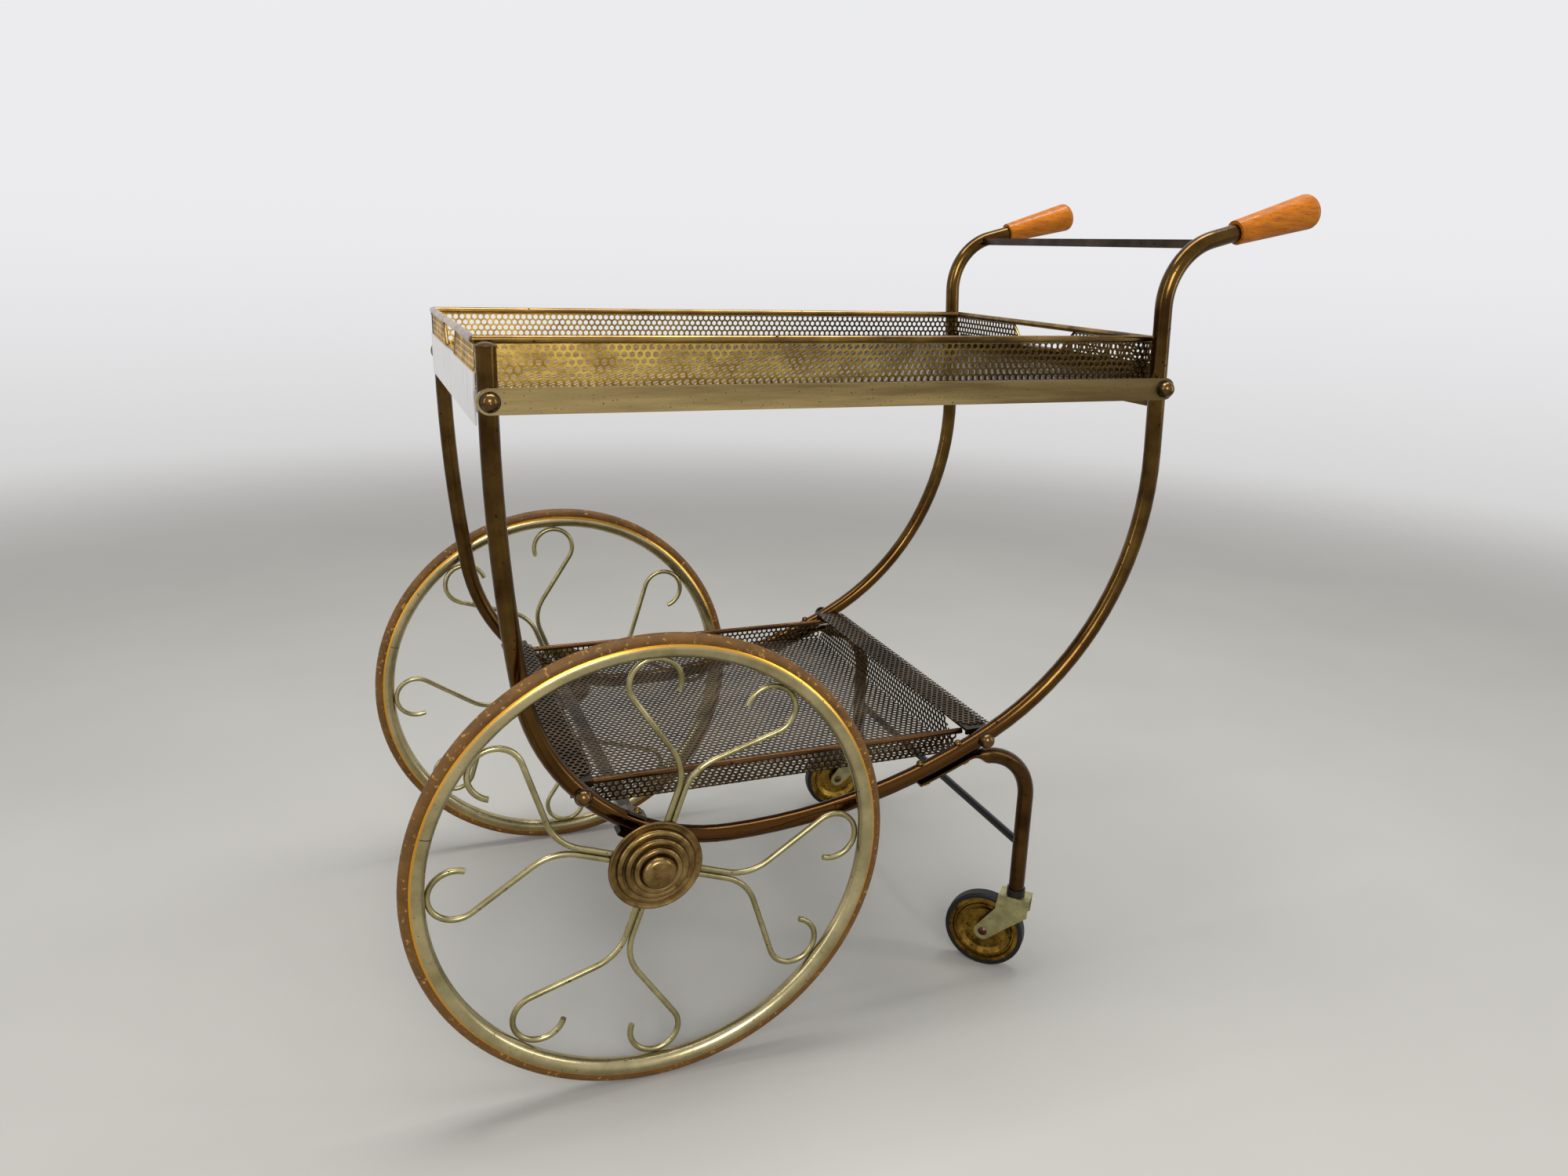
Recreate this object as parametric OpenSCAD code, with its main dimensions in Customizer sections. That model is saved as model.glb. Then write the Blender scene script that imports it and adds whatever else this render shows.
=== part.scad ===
// Serving trolley of bent brass tube: a lift-off perforated tray, a perforated shelf,
// two large spoked wheels at the front and two swivel casters at the back.
// Millimetres. +X points to the handles, +Y to the user's right, +Z up.
// The floor is z = 0. The origin lies midway between the foremost point and the grips' ends.
// A heading is the way a tube runs in side view: 0 is straight down, 90 is towards +X, 180 is up.

/* [Side tubes] */
// Outer diameter of the side tubes and the caster legs
tube_d = 15; // [12:0.5:17]
// Wall thickness of the tubes
tube_wall = 1.5; // [1:0.1:2]
// Distance between the middle planes of the two side tubes
track = 374; // [320:1:460]
// Bend radius of the long sweep of the front post
sweep_r = 1500; // [1200:10:1800]
// Turn of the long sweep, in degrees
sweep_turn = 8; // [6:0.5:10]
// Bend radius of the side tube at the axle
front_bend_r = 175; // [150:1:200]
// Turn of the bend at the axle, in degrees
front_bend_turn = 81; // [77:0.5:84]
// Bend radius of the belly under the shelf
belly_r = 520; // [460:1:600]
// Turn of the belly, in degrees
belly_turn = 29; // [26:0.5:32]
// Bend radius of the rise to the handles
rear_bend_r = 272; // [240:1:300]
// Forward lean of the straight length below the handle, in degrees
back_lean = 3; // [0:0.5:6]
// Bend radius of the handle
handle_bend_r = 58; // [45:1:75]
// Height of the start of the handle bend above the tray's floor
handle_rise = 61; // [50:1:100]
// Slope of the handle above level, in degrees
handle_slope = 15; // [5:1:25]

/* [Grips] */
// Bare handle tube between its bend and the grip
handle_bare = 25; // [15:1:50]
// Length of a grip
grip_len = 84; // [80:1:110]
// Grip diameter at the small end
grip_d1 = 21; // [18:0.5:24]
// Grip diameter at the free end
grip_d2 = 30; // [26:0.5:34]
// Rounding of the grip's free end
grip_round = 7; // [4:0.5:9]
// Length of tube inside the grip
grip_hold = 70; // [50:1:75]

/* [Handle crossbar] */
// Heading of the handle bend where the crossbar sits, in degrees
crossbar_heading = 116; // [112:1:150]
// Height of the crossbar
crossbar_h = 7.5; // [5:0.5:12]
// Thickness of the crossbar
crossbar_t = 3; // [2:0.5:5]

/* [Upper tray] */
// Height of the underside of the upper tray above the floor
tray_z = 581; // [565:1:650]
// Height of the tray's wall, from its underside to the middle of the rim
tray_h = 34.6; // [28:0.1:45]
// Gap between the tray's rim and the side tubes
tray_side_gap = 2.2; // [0.5:0.1:6]
// Play between the tray and the rear cross plate
tray_slack = 8; // [2:0.5:12]
// Diameter of the rolled rim of the tray
rim_bead_d = 6; // [4:0.1:8]
// Thickness of the perforated sheet of tray and shelf
sheet_t = 1; // [0.6:0.1:1.6]
// Width of a hand-hole at the top
handhole_top = 110; // [90:1:140]
// Width of a hand-hole at the bottom
handhole_bottom = 68; // [50:1:80]
// Height of a hand-hole
handhole_h = 20; // [15:0.5:22]
// Rounding of the lower corners of a hand-hole
handhole_round = 7; // [3:0.5:10]

/* [Openings of the sheet] */
// Pitch of the openings in tray and shelf, which stand for a much finer perforation
mesh_pitch = 48; // [48:1:80]
// Width of the bars between the openings
mesh_bar = 12; // [8:0.5:16]
// Width of the plain border round the openings
mesh_edge = 10; // [8:0.5:14]

/* [Rails and cross plates] */
// Height of a side rail
rail_h = 19; // [15:0.5:22]
// Thickness of a side rail
rail_t = 3; // [2:0.1:5]
// Drop of the rail bolts below the underside of the tray
rail_drop = 6.5; // [6.5:0.1:10]
// Height of a cross plate
plate_h = 38; // [30:0.5:45]
// Thickness of a cross plate
plate_t = 1.5; // [1:0.1:1.6]
// Width of the lip that carries the tray
lip_w = 10; // [9:0.5:14]
// Rise of the front post's end above the underside of the tray
post_over = 30; // [20:1:40]

/* [Lower shelf] */
// Distance along the tube from the rear shelf bolt to the end of the belly
shelf_inset = 10; // [2:1:30]
// Depth of the shelf below its end flanges
shelf_depth = 27; // [20:0.5:32]
// Width of an end flange
flange_w = 31; // [29:0.5:40]
// Distance between the shelf's edge rods and the side tubes
shelf_side_gap = 9.75; // [8:0.25:16]
// Diameter of the edge rods
rod_d = 5.5; // [4:0.1:6.5]
// Drop of the edge rods' middle below the underside of the flanges
rod_drop = 6.7; // [6.5:0.1:9]
// Length of the edge rods beyond the shelf's end walls
rod_over = 5; // [2:0.5:8]
// Width of a shelf bar
bar_w = 24; // [20:0.5:27]
// Thickness of a shelf bar
bar_t = 2.5; // [1.5:0.1:2.8]
// Height of the shelf bars' top above the shelf bolts
bar_rise = 5.5; // [5.5:0.1:9]

/* [Big wheels] */
// Diameter of a big wheel over its tyre
wheel_d = 400; // [350:1:440]
// Distance from a side tube's middle plane to the wheel's middle plane
wheel_offset = 32.5; // [31:0.5:45]
// Width of the rim
rim_w = 15; // [14:0.5:17]
// Width of the tyre
tyre_w = 11.4; // [9:0.2:12.4]
// Height of the tyre above the rim
tyre_h = 7.7; // [6:0.1:10]
// Height of the rim below the tyre
rim_h = 12.3; // [11:0.1:13.5]
// Wall thickness of the rim's channel
rim_wall = 1.5; // [1:0.1:2]
// Diameter of the spoke wire
wire_d = 5; // [4:0.1:6]
// Number of spoke pairs
spoke_pairs = 4; // [3:1:5]
// Offset of the spokes' plane from the wheel's middle plane, towards the frame
spoke_offset = 4.5; // [3:0.1:5]
// Gap between the two straight wires of a pair
pair_gap = 0.4; // [0.3:0.1:2]
// Distance from the axle to where a pair starts to part
pair_straight = 66; // [50:1:75]
// Bend radius where a wire leaves its pair
part_r = 40; // [30:1:50]
// Turn of a wire where it leaves its pair, in degrees
part_turn = 53; // [45:1:60]
// Bend radius of the hook
hook_r = 21; // [16:0.5:23]
// Turn of the hook, in degrees
hook_turn = 236; // [200:1:250]
// Turn of the left wheel at rest, in degrees
wheel_turn_left = 70.5; // [0:0.5:90]
// Turn of the right wheel at rest, in degrees
wheel_turn_right = 110; // [90:0.5:180]

/* [Hub and axle] */
// Diameter of the axle
axle_d = 12; // [10:0.5:13]
// Distance between the side tube's middle line and the axle
axle_drop = 17.5; // [17:0.1:24]
// Heading of the side tube above the axle, in degrees
axle_heading = 67; // [61:0.5:71]
// Diameter of the hub's drum under the spokes
drum_d = 40; // [34:1:50]
// Diameter of the hub's sleeve
sleeve_d = 20; // [18:0.5:24]
// Diameter of the hub cap
cap_d = 79; // [72:1:90]
// Height of the hub cap
cap_h = 17; // [15:0.5:22]
// Number of steps of the hub cap, its boss included
cap_steps = 4; // [3:1:5]
// Diameter of the hub cap's boss
cap_boss_d = 29; // [27:0.5:34]
// Height of the hub cap's boss above the step below it
cap_boss_h = 5.5; // [3:0.5:8]
// Sheet thickness of the hub cap
cap_wall = 1.2; // [0.8:0.1:1.6]

/* [Axle brackets and strap] */
// Heading of the side tube at the strap bolts, in degrees
strap_heading = 60; // [57:0.5:61]
// Width of the axle strap along the tube
strap_w = 16; // [12:0.5:18]
// Thickness of the axle strap
strap_t = 2.5; // [1.5:0.1:3.5]
// Gap between the strap and the shelf above it
strap_clear = 6; // [2:0.5:8]
// Width of an axle bracket
bracket_w = 14; // [10:0.5:15]
// Thickness of an axle bracket below the tube
bracket_t = 5; // [3:0.5:7]
// Wall of the bracket round the axle
bracket_wall = 3.5; // [2.5:0.1:3.9]

/* [Caster legs] */
// Bend radius of a caster leg
leg_bend_r = 49; // [42:1:60]
// Distance along the tube from the rear shelf bolt to the nearer leg bolt
leg_bolt_inset = 24; // [18:1:32]
// Distance between the two bolts of a leg
leg_bolt_pitch = 41; // [30:1:55]
// Thickness of the flattened end of a leg
flat_t = 3; // [2.5:0.1:4]
// Width of the flattened end of a leg
flat_w = 20; // [18:0.5:23]
// Length of the flattened end beyond each of its bolts
flat_over = 8; // [6:0.5:10]
// Diameter of the stretcher rod between the legs
stretcher_d = 8; // [5:0.5:10]
// Height of the stretcher rod above the floor
stretcher_z = 138; // [115:1:160]

/* [Casters] */
// Diameter of a caster wheel over its tyre
caster_d = 78; // [65:1:90]
// Width of a caster wheel
caster_w = 13; // [11:0.5:16]
// Thickness of the caster's tyre
caster_tyre_t = 4.5; // [3:0.5:6]
// Trail of the caster wheel behind its swivel
caster_trail = 27.5; // [24:0.5:33]
// Height of the fork's top above the wheel's axle
fork_rise = 44.7; // [40:0.1:55]
// Length of the fork's top
fork_top_len = 30; // [26:0.5:34]
// Sheet thickness of the fork
fork_t = 1.8; // [1.2:0.1:2.4]
// Radius of the fork's round lower end
fork_boss_r = 8.5; // [7:0.5:11]
// Diameter of the swivel stem
stem_d = 8; // [6:0.5:8.5]
// Length of the swivel stem above the fork
stem_len = 45; // [30:1:60]
// Diameter of the caster wheel's axle pin
pin_d = 6; // [5:0.1:7]
// Diameter of the dark collar at the leg's foot
collar_d = 17.5; // [17:0.5:22]
// Height of the dark collar
collar_h = 7; // [5:0.5:12]
// Direction in which the left caster trails at rest, in degrees from +X
caster_turn_left = 135; // [90:1:180]
// Direction in which the right caster trails at rest, in degrees from +X
caster_turn_right = 175; // [90:1:200]

/* [Fasteners] */
// Diameter of the bolts through the tubes
bolt_d = 5; // [4:0.1:5]
// Diameter of a large dome head
dome_d = 14; // [11:0.5:16]
// Height of a large dome head
dome_h = 6; // [4:0.5:7]
// Diameter of a dark washer
washer_d = 15; // [12:0.5:17]
// Thickness of a dark washer
washer_t = 2.5; // [1:0.1:3]
// Width across the flats of a nut
nut_af = 8; // [7:0.5:8]
// Height of a nut
nut_h = 3.2; // [2.5:0.1:4]
// Diameter of the small bolts that run up through a tube
small_bolt_d = 4; // [3:0.1:5]
// Diameter of a small dome head
small_dome_d = 7.5; // [6:0.1:9]
// Height of a small dome head
small_dome_h = 3.5; // [2:0.1:4]
// Width across the flats of an axle nut
axle_nut_af = 18; // [17:0.5:20]
// Height of an axle nut
axle_nut_h = 5; // [4:0.5:6]

/* [Clearances] */
// Radial clearance of a shaft that turns in its bore
run_fit = 0.05; // [0.02:0.01:0.1]
// Radial clearance of a fixed pin or bolt in its hole
fixed_fit = 0.05; // [0.03:0.01:0.1]
// Gap between two faces that turn past each other
turn_gap = 0.3; // [0.2:0.05:0.6]
// Gap left where a flat face meets a round one
seat_gap = 0.1; // [0.05:0.05:0.2]

/* [Hidden] */
$fn = 64;

// Every second run of a bent tube or wire is a little thinner and reaches into its neighbours
lap = 0.5;
lap_step = 0.3;

brass = "darkgoldenrod";
dark_brass = "#6b5226";
pale_brass = "#b3a06a";
sheet_brass = "#8a7040";
silver = "#c9c7c0";
black = "#15130f";

// ---- Side view: points are [x, z] ----

// Unit vector along a tube of heading h
function along(h) = [sin(h), -cos(h)];

// Unit vector towards the inside of the side tube's U, square to a tube of heading h
function inward(h) = [cos(h), sin(h)];

// Point at heading h on a bend of the side tube
function on_bend(centre, r, h) = centre - r * inward(h);

// Degrees of turn that a length along a bend of radius r takes
function turn_of(len, r) = len / r * 180 / PI;

// Corner of a triangle-like outline where a line from p touches a circle, on the side that sign names
function touch_point(p, centre, r, sign) =
    let (
        d = p - centre,
        angle = atan2(d[1], d[0]) + sign * acos(r / norm(d))
    )
    centre + r * [cos(angle), sin(angle)];

// Headings where the bends of the side tube meet
sweep_end_h = sweep_turn;
front_end_h = sweep_end_h + front_bend_turn;
belly_end_h = front_end_h + belly_turn;
back_h = 180 + back_lean;
handle_h = 90 + handle_slope;

// The side tube, with the axle at x = 0
wheel_r = wheel_d / 2;
raw_axle = [0, wheel_r];
raw_front_centre = raw_axle + (axle_drop + front_bend_r) * inward(axle_heading);
raw_belly_start = on_bend(raw_front_centre, front_bend_r, front_end_h);
raw_belly_end = on_bend(raw_belly_start + belly_r * inward(front_end_h), belly_r, belly_end_h);
raw_rear_end = on_bend(raw_belly_end + rear_bend_r * inward(belly_end_h), rear_bend_r, back_h);
raw_back_len = (tray_z + handle_rise - raw_rear_end[1]) / along(back_h)[1];
raw_back_top = raw_rear_end + raw_back_len * along(back_h);
raw_handle_end = raw_back_top + handle_bend_r * (inward(handle_h) - inward(back_h));

// Foremost reach of a grip's rounded end
grip_tip = handle_bare + grip_len - grip_round;
grip_reach = raw_handle_end[0] + grip_tip * cos(handle_slope)
    + (grip_d2 / 2 - grip_round) * sin(handle_slope) + grip_round;

// The same points about the part's own origin
middle = [(grip_reach - wheel_r) / 2, 0];
axle_at = raw_axle - middle;
front_centre = raw_front_centre - middle;
sweep_start = on_bend(front_centre, front_bend_r, sweep_end_h);
sweep_centre = sweep_start + sweep_r * inward(sweep_end_h);
post_foot = on_bend(sweep_centre, sweep_r, 0);
post_top_z = tray_z + post_over;
post_top = [post_foot[0], post_top_z];
belly_start = raw_belly_start - middle;
belly_centre = belly_start + belly_r * inward(front_end_h);
belly_end = raw_belly_end - middle;
rear_centre = belly_end + rear_bend_r * inward(belly_end_h);
rear_end = raw_rear_end - middle;
back_top = raw_back_top - middle;
handle_centre = back_top - handle_bend_r * inward(back_h);
handle_end = raw_handle_end - middle;
grip_start = handle_end + handle_bare * along(handle_h);

// ---- Across the trolley ----

side_y = track / 2;
tube_in = side_y - tube_d / 2 - seat_gap;
tube_out = side_y + tube_d / 2 + seat_gap;

// Rails and cross plates
rail_z = tray_z - rail_drop;
rail_front = [post_foot[0], rail_z];
rail_rear = rear_end + (rail_z - rear_end[1]) / along(back_h)[1] * along(back_h);
plate_reach = tube_d / 2 + plate_t;
ear_depth = tube_d / 2 + 0.5;
ear_y = tube_in - plate_t;

// Upper tray
tray_y = side_y - tube_d / 2 - tray_side_gap - rim_bead_d / 2;
tray_front = rail_front[0] - tube_d / 2 + turn_gap + sheet_t / 2;
tray_rear = rail_rear[0] + tube_d / 2 - tray_slack + sheet_t / 2;
rim_z = tray_z + tray_h;
tray_wall_top = rim_z - rim_bead_d / 2;
tray_mid = (tray_front + tray_rear) / 2;
tray_len = tray_rear - tray_front;

// Lower shelf
shelf_h = belly_end_h - turn_of(shelf_inset, belly_r);
shelf_rear = on_bend(belly_centre, belly_r, shelf_h);
shelf_front_h = asin((front_centre[1] - shelf_rear[1]) / front_bend_r);
shelf_front = on_bend(front_centre, front_bend_r, shelf_front_h);
bar_top = shelf_rear[1] + bar_rise;
shelf_floor = bar_top - shelf_depth;
fold_inset = bar_w / 2 + 3;
fold_front = shelf_front[0] + fold_inset;
fold_rear = shelf_rear[0] - fold_inset;
shelf_len = fold_rear - fold_front;
shelf_mid = (fold_front + fold_rear) / 2;
shelf_y = side_y - tube_d / 2 - shelf_side_gap - rod_d / 2;
rod_z = bar_top - rod_drop;
fold_half = shelf_y - 7;
flange_half = shelf_y + 4;

// Big wheels
wheel_y = side_y + wheel_offset;
rim_out_r = wheel_r - tyre_h;
rim_round_r = rim_out_r - rim_h + rim_w / 2;
spoke_y = wheel_y - spoke_offset;
wire_reach = rim_w / 2 + wire_d / 2 + seat_gap;
hook_reach = rim_round_r - sqrt(pow(wire_reach, 2) - pow(spoke_offset, 2));
wire_v = (wire_d + pair_gap) / 2;
drum_t = wire_d + 1;

// Middle of the hook for a straight of no length, and the straight that makes the hook reach the rim
hook_start = [
    pair_straight + part_r * sin(part_turn) + hook_r * sin(part_turn),
    wire_v + part_r * (1 - cos(part_turn)) - hook_r * cos(part_turn)
];
hook_slide = hook_start * [cos(part_turn), sin(part_turn)];
wire_straight = sqrt(pow(hook_slide, 2) + pow(hook_reach - hook_r, 2) - hook_start * hook_start) - hook_slide;
part_end = [pair_straight + part_r * sin(part_turn), wire_v + part_r * (1 - cos(part_turn))];
hook_centre = hook_start + wire_straight * [cos(part_turn), sin(part_turn)];

// Hub, cap and axle
cap_y = spoke_y + wire_d / 2 + seat_gap;
sleeve_in = side_y + bracket_w / 2 + turn_gap;
sleeve_out = cap_y + 4.5;
nut_in = sleeve_out + turn_gap;
axle_end = nut_in + axle_nut_h + 1;
cap_flange_h = 1.5;

// Strap and brackets
strap_at = on_bend(front_centre, front_bend_r, strap_heading);
strap_low = (shelf_floor - strap_clear - strap_at[1] - strap_w / 2 * cos(strap_heading)) / sin(strap_heading);
strap_seat = tube_d / 2 + seat_gap;
bracket_r = front_bend_r + strap_seat;

// Caster legs
leg_near_h = shelf_h - turn_of(leg_bolt_inset, belly_r);
leg_far_h = leg_near_h - turn_of(leg_bolt_pitch, belly_r);
leg_start = on_bend(belly_centre, belly_r + tube_d + seat_gap, leg_near_h);
leg_centre = leg_start - leg_bend_r * inward(leg_near_h);
leg_round_h = leg_near_h - 18;
leg_x = leg_centre[0] + leg_bend_r;
swivel_z = caster_d / 2 + fork_rise;
socket_z = swivel_z + turn_gap;
foot_z = socket_z + 2;
flat_seat = tube_d / 2 + seat_gap;

// Casters
caster_r = caster_d / 2;
fork_in = caster_w / 2 + 1;
fork_out = fork_in + fork_t;

// ---- Helpers ----

// Moves a piece drawn at y = 0 to the left or right side
module at_side(side, y) {
    translate([0, side * y, 0]) children();
}

// Both sides of a piece that is drawn for the left side, at negative y
module both_sides() {
    children();
    mirror([0, 1, 0]) children();
}

// A piece drawn for the left side, kept there or mirrored to the right
module left_piece(side) {
    if (side < 0) children();
    else mirror([0, 1, 0]) children();
}

// Local frame on a tube: x runs along the tube, z points to the inside of the U
module on_tube(point, h) {
    translate([point[0], 0, point[1]]) rotate([0, 90 - h, 0]) children();
}

// Turns a shape drawn in [x, z] into a solid from y1 to y2
module slab(y1, y2) {
    translate([0, y2, 0]) rotate([90, 0, 0]) linear_extrude(y2 - y1) children();
}

// Round rod along Y
module cross_rod(point, y1, y2, d) {
    translate([point[0], y1, point[1]]) rotate([-90, 0, 0]) cylinder(h = y2 - y1, d = d);
}

// Dome on the plane z = 0
module dome(d, h) {
    r = (d * d / 4 + h * h) / (2 * h);
    intersection() {
        translate([0, 0, h - r]) sphere(r);
        translate([-d, -d, 0]) cube([2 * d, 2 * d, h + 1]);
    }
}

// Hexagon nut on the plane z = 0, growing along +z
module hex_nut(af, h, bore_d) {
    difference() {
        cylinder(h = h, d = af / cos(30), $fn = 6);
        translate([0, 0, -1]) cylinder(h = h + 2, d = bore_d);
    }
}

// Ring-shaped section of a tube
module tube_section(d, wall) {
    difference() {
        circle(d = d);
        circle(d = d - 2 * wall);
    }
}

// Straight tube from a point along a heading
module straight_run(point, h, len, d, wall) {
    translate([point[0], 0, point[1]]) rotate([0, 180 - h, 0]) linear_extrude(len) tube_section(d, wall);
}

// Bend round a centre, from angle a1 to a2 counted from +X towards +Z
module bend_run(centre, r, a1, a2, d, wall) {
    translate([centre[0], 0, centre[1]]) rotate([90, 0, 0])
        rotate_extrude(angle = a2 - a1, start = a1) translate([r, 0]) tube_section(d, wall);
}

// Straight length that reaches into the runs at both of its ends
module lapped_straight(point, h, len, d, wall) {
    straight_run(point - lap * along(h), h, len + 2 * lap, d - lap_step, wall - lap_step);
}

// Bend that reaches into the runs at both of its ends
module lapped_bend(centre, r, a1, a2, d, wall) {
    reach = turn_of(lap, r);
    bend_run(centre, r, a1 - reach, a2 + reach, d - lap_step, wall - lap_step);
}

// Part of a flat ring round a centre, standing across the trolley, w wide along Y
module arc_plate(centre, r1, r2, a1, a2, w) {
    translate([centre[0], 0, centre[1]]) rotate([90, 0, 0])
        rotate_extrude(angle = a2 - a1, start = a1) translate([r1, -w / 2]) square([r2 - r1, w]);
}

// ---- Frame ----

// Holes for the bolts that cross a side tube or run up through it
module side_tube_holes() {
    for (point = [rail_front, rail_rear, shelf_front, shelf_rear])
        cross_rod(point, -tube_d, tube_d, bolt_d + 2 * fixed_fit);
    on_tube(strap_at, strap_heading)
        translate([0, 0, -tube_d]) cylinder(h = 2 * tube_d, d = small_bolt_d + 2 * fixed_fit);
    for (h = [leg_near_h, leg_far_h])
        on_tube(on_bend(belly_centre, belly_r, h), h)
            translate([0, 0, -tube_d]) cylinder(h = 2 * tube_d, d = small_bolt_d + 2 * fixed_fit);
}

module side_tube(side) {
    post_len = post_top_z - post_foot[1];
    back_len = norm(back_top - rear_end);
    color(dark_brass) at_side(side, side_y) difference() {
        union() {
            straight_run(post_top, 0, post_len, tube_d, tube_wall);
            lapped_bend(sweep_centre, sweep_r, 180, 180 + sweep_end_h, tube_d, tube_wall);
            bend_run(front_centre, front_bend_r, 180 + sweep_end_h, 180 + front_end_h, tube_d, tube_wall);
            lapped_bend(belly_centre, belly_r, 180 + front_end_h, 180 + belly_end_h, tube_d, tube_wall);
            bend_run(rear_centre, rear_bend_r, 180 + belly_end_h, 180 + back_h, tube_d, tube_wall);
            lapped_straight(rear_end, back_h, back_len, tube_d, tube_wall);
            bend_run(handle_centre, handle_bend_r, handle_h, back_h, tube_d, tube_wall);
            lapped_straight(handle_end, handle_h, handle_bare, tube_d, tube_wall);
            straight_run(grip_start, handle_h, grip_hold, tube_d, tube_wall);
        }
        side_tube_holes();
    }
}

// Button on the open top of each front post, with a plug inside the tube
module post_caps() {
    cap_edge = 1.6;
    plug_len = 8;
    plug_d = tube_d - 2 * tube_wall - 2 * fixed_fit;
    color(dark_brass) for (side = [-1, 1])
        translate([post_top[0], side * side_y, post_top_z]) {
            cylinder(h = cap_edge, d = tube_d + 1);
            translate([0, 0, cap_edge]) dome(tube_d + 1, 2.6);
            translate([0, 0, -plug_len]) cylinder(h = plug_len + 1, d = plug_d);
        }
}

// Turned wooden grip, thicker at its free end, drawn along +z
module grip_body() {
    taper = atan((grip_d2 - grip_d1) / 2 / grip_len);
    round_r = grip_d2 / 2 - grip_round * (1 / cos(taper) - tan(taper));
    round_z = grip_len - grip_round;
    difference() {
        rotate_extrude() {
            polygon([
                [0, 0],
                [grip_d1 / 2, 0],
                [round_r + grip_round * cos(taper), round_z - grip_round * sin(taper)],
                [round_r, round_z],
                [round_r, grip_len],
                [0, grip_len]
            ]);
            intersection() {
                translate([round_r, round_z]) circle(grip_round);
                translate([0, round_z - grip_round * sin(taper)]) square([grip_d2, grip_round * 2]);
            }
        }
        translate([0, 0, -1]) cylinder(h = grip_hold + 1 + turn_gap, d = tube_d + 2 * fixed_fit);
    }
}

module grip(side) {
    color("peru") at_side(side, side_y)
        translate([grip_start[0], 0, grip_start[1]]) rotate([0, 180 - handle_h, 0]) grip_body();
}

// Flat strip on edge between the two handle bends
module handle_crossbar() {
    point = handle_centre + handle_bend_r * inward(crossbar_heading);
    color("#4a3a24") on_tube(point, 90)
        translate([-crossbar_t / 2, -tube_in, -crossbar_h / 2]) cube([crossbar_t, 2 * tube_in, crossbar_h]);
}

// Flat rail with round ends on the outside of a side tube
module side_rail(side) {
    color(pale_brass) left_piece(side) difference() {
        slab(-tube_out - rail_t, -tube_out) {
            translate([rail_front[0], rail_z - rail_h / 2]) square([rail_rear[0] - rail_front[0], rail_h]);
            translate(rail_front) circle(d = rail_h);
            translate(rail_rear) circle(d = rail_h);
        }
        for (point = [rail_front, rail_rear])
            cross_rod(point, -tube_out - rail_t - 1, -tube_out + 1, bolt_d + 2 * fixed_fit);
    }
}

// Cross plate at one end of the tray. Its ends are folded back as ears along the tubes,
// and each ear has a lip that the tray rests on. dir is -1 at the front and 1 at the back.
module cross_plate(point, dir) {
    near_x = -ear_depth;
    far_x = plate_reach;
    ear_top = tray_z - seat_gap;
    difference() {
        translate([point[0], 0, 0]) mirror([dir < 0 ? 1 : 0, 0, 0]) {
            translate([far_x - plate_t, -tube_in, rail_z - plate_h / 2])
                cube([plate_t, 2 * tube_in, plate_h]);
            both_sides() {
                translate([near_x, -tube_in, rail_z - rail_h / 2])
                    cube([far_x - near_x, plate_t, ear_top - rail_z + rail_h / 2]);
                translate([near_x, -tube_in, ear_top - plate_t]) cube([far_x - near_x, lip_w, plate_t]);
            }
        }
        cross_rod(point, -tube_in - 1, tube_in + 1, bolt_d + 2 * fixed_fit);
    }
}

module front_cross_plate() {
    color(silver) cross_plate(rail_front, -1);
}

module rear_cross_plate() {
    color(dark_brass) cross_plate(rail_rear, 1);
}

// Dome-headed bolts along Y on both sides, from a head seat at head_y inwards to end_y
module cross_bolts(points, head_y, end_y) {
    both_sides() for (point = points) {
        cross_rod(point, -head_y, -end_y, bolt_d);
        translate([point[0], -head_y, point[1]]) rotate([90, 0, 0]) dome(dome_d, dome_h);
    }
}

// Washers under the dome heads, from the seat at seat_y outwards
module cross_washers(points, seat_y) {
    both_sides() for (point = points) difference() {
        cross_rod(point, -seat_y - washer_t, -seat_y, washer_d);
        cross_rod(point, -seat_y - washer_t - 1, -seat_y + 1, bolt_d + 2 * fixed_fit);
    }
}

module rail_bolts() {
    color(dark_brass)
        cross_bolts([rail_front, rail_rear], tube_out + rail_t + washer_t, ear_y - nut_h);
}

module rail_washers() {
    color(black) cross_washers([rail_front, rail_rear], tube_out + rail_t);
}

// Nuts against the inner faces of the cross plates' ears
module rail_nuts() {
    color(brass) both_sides() for (point = [rail_front, rail_rear])
        translate([point[0], -ear_y, point[1]]) rotate([-90, 0, 0]) rotate([0, 0, 30])
            hex_nut(nut_af, nut_h, bolt_d + 2 * fixed_fit);
}

// Openings that fill a field about the origin: as many as its pitch allows, with bars between them
module mesh_openings(len, width) {
    nx = max(1, round(len / mesh_pitch));
    ny = max(1, round(width / mesh_pitch));
    step_x = (len + mesh_bar) / nx;
    step_y = (width + mesh_bar) / ny;
    for (i = [0 : nx - 1], j = [0 : ny - 1])
        translate([i * step_x - len / 2, j * step_y - width / 2])
            square([step_x - mesh_bar, step_y - mesh_bar]);
}

// ---- Upper tray ----

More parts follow.
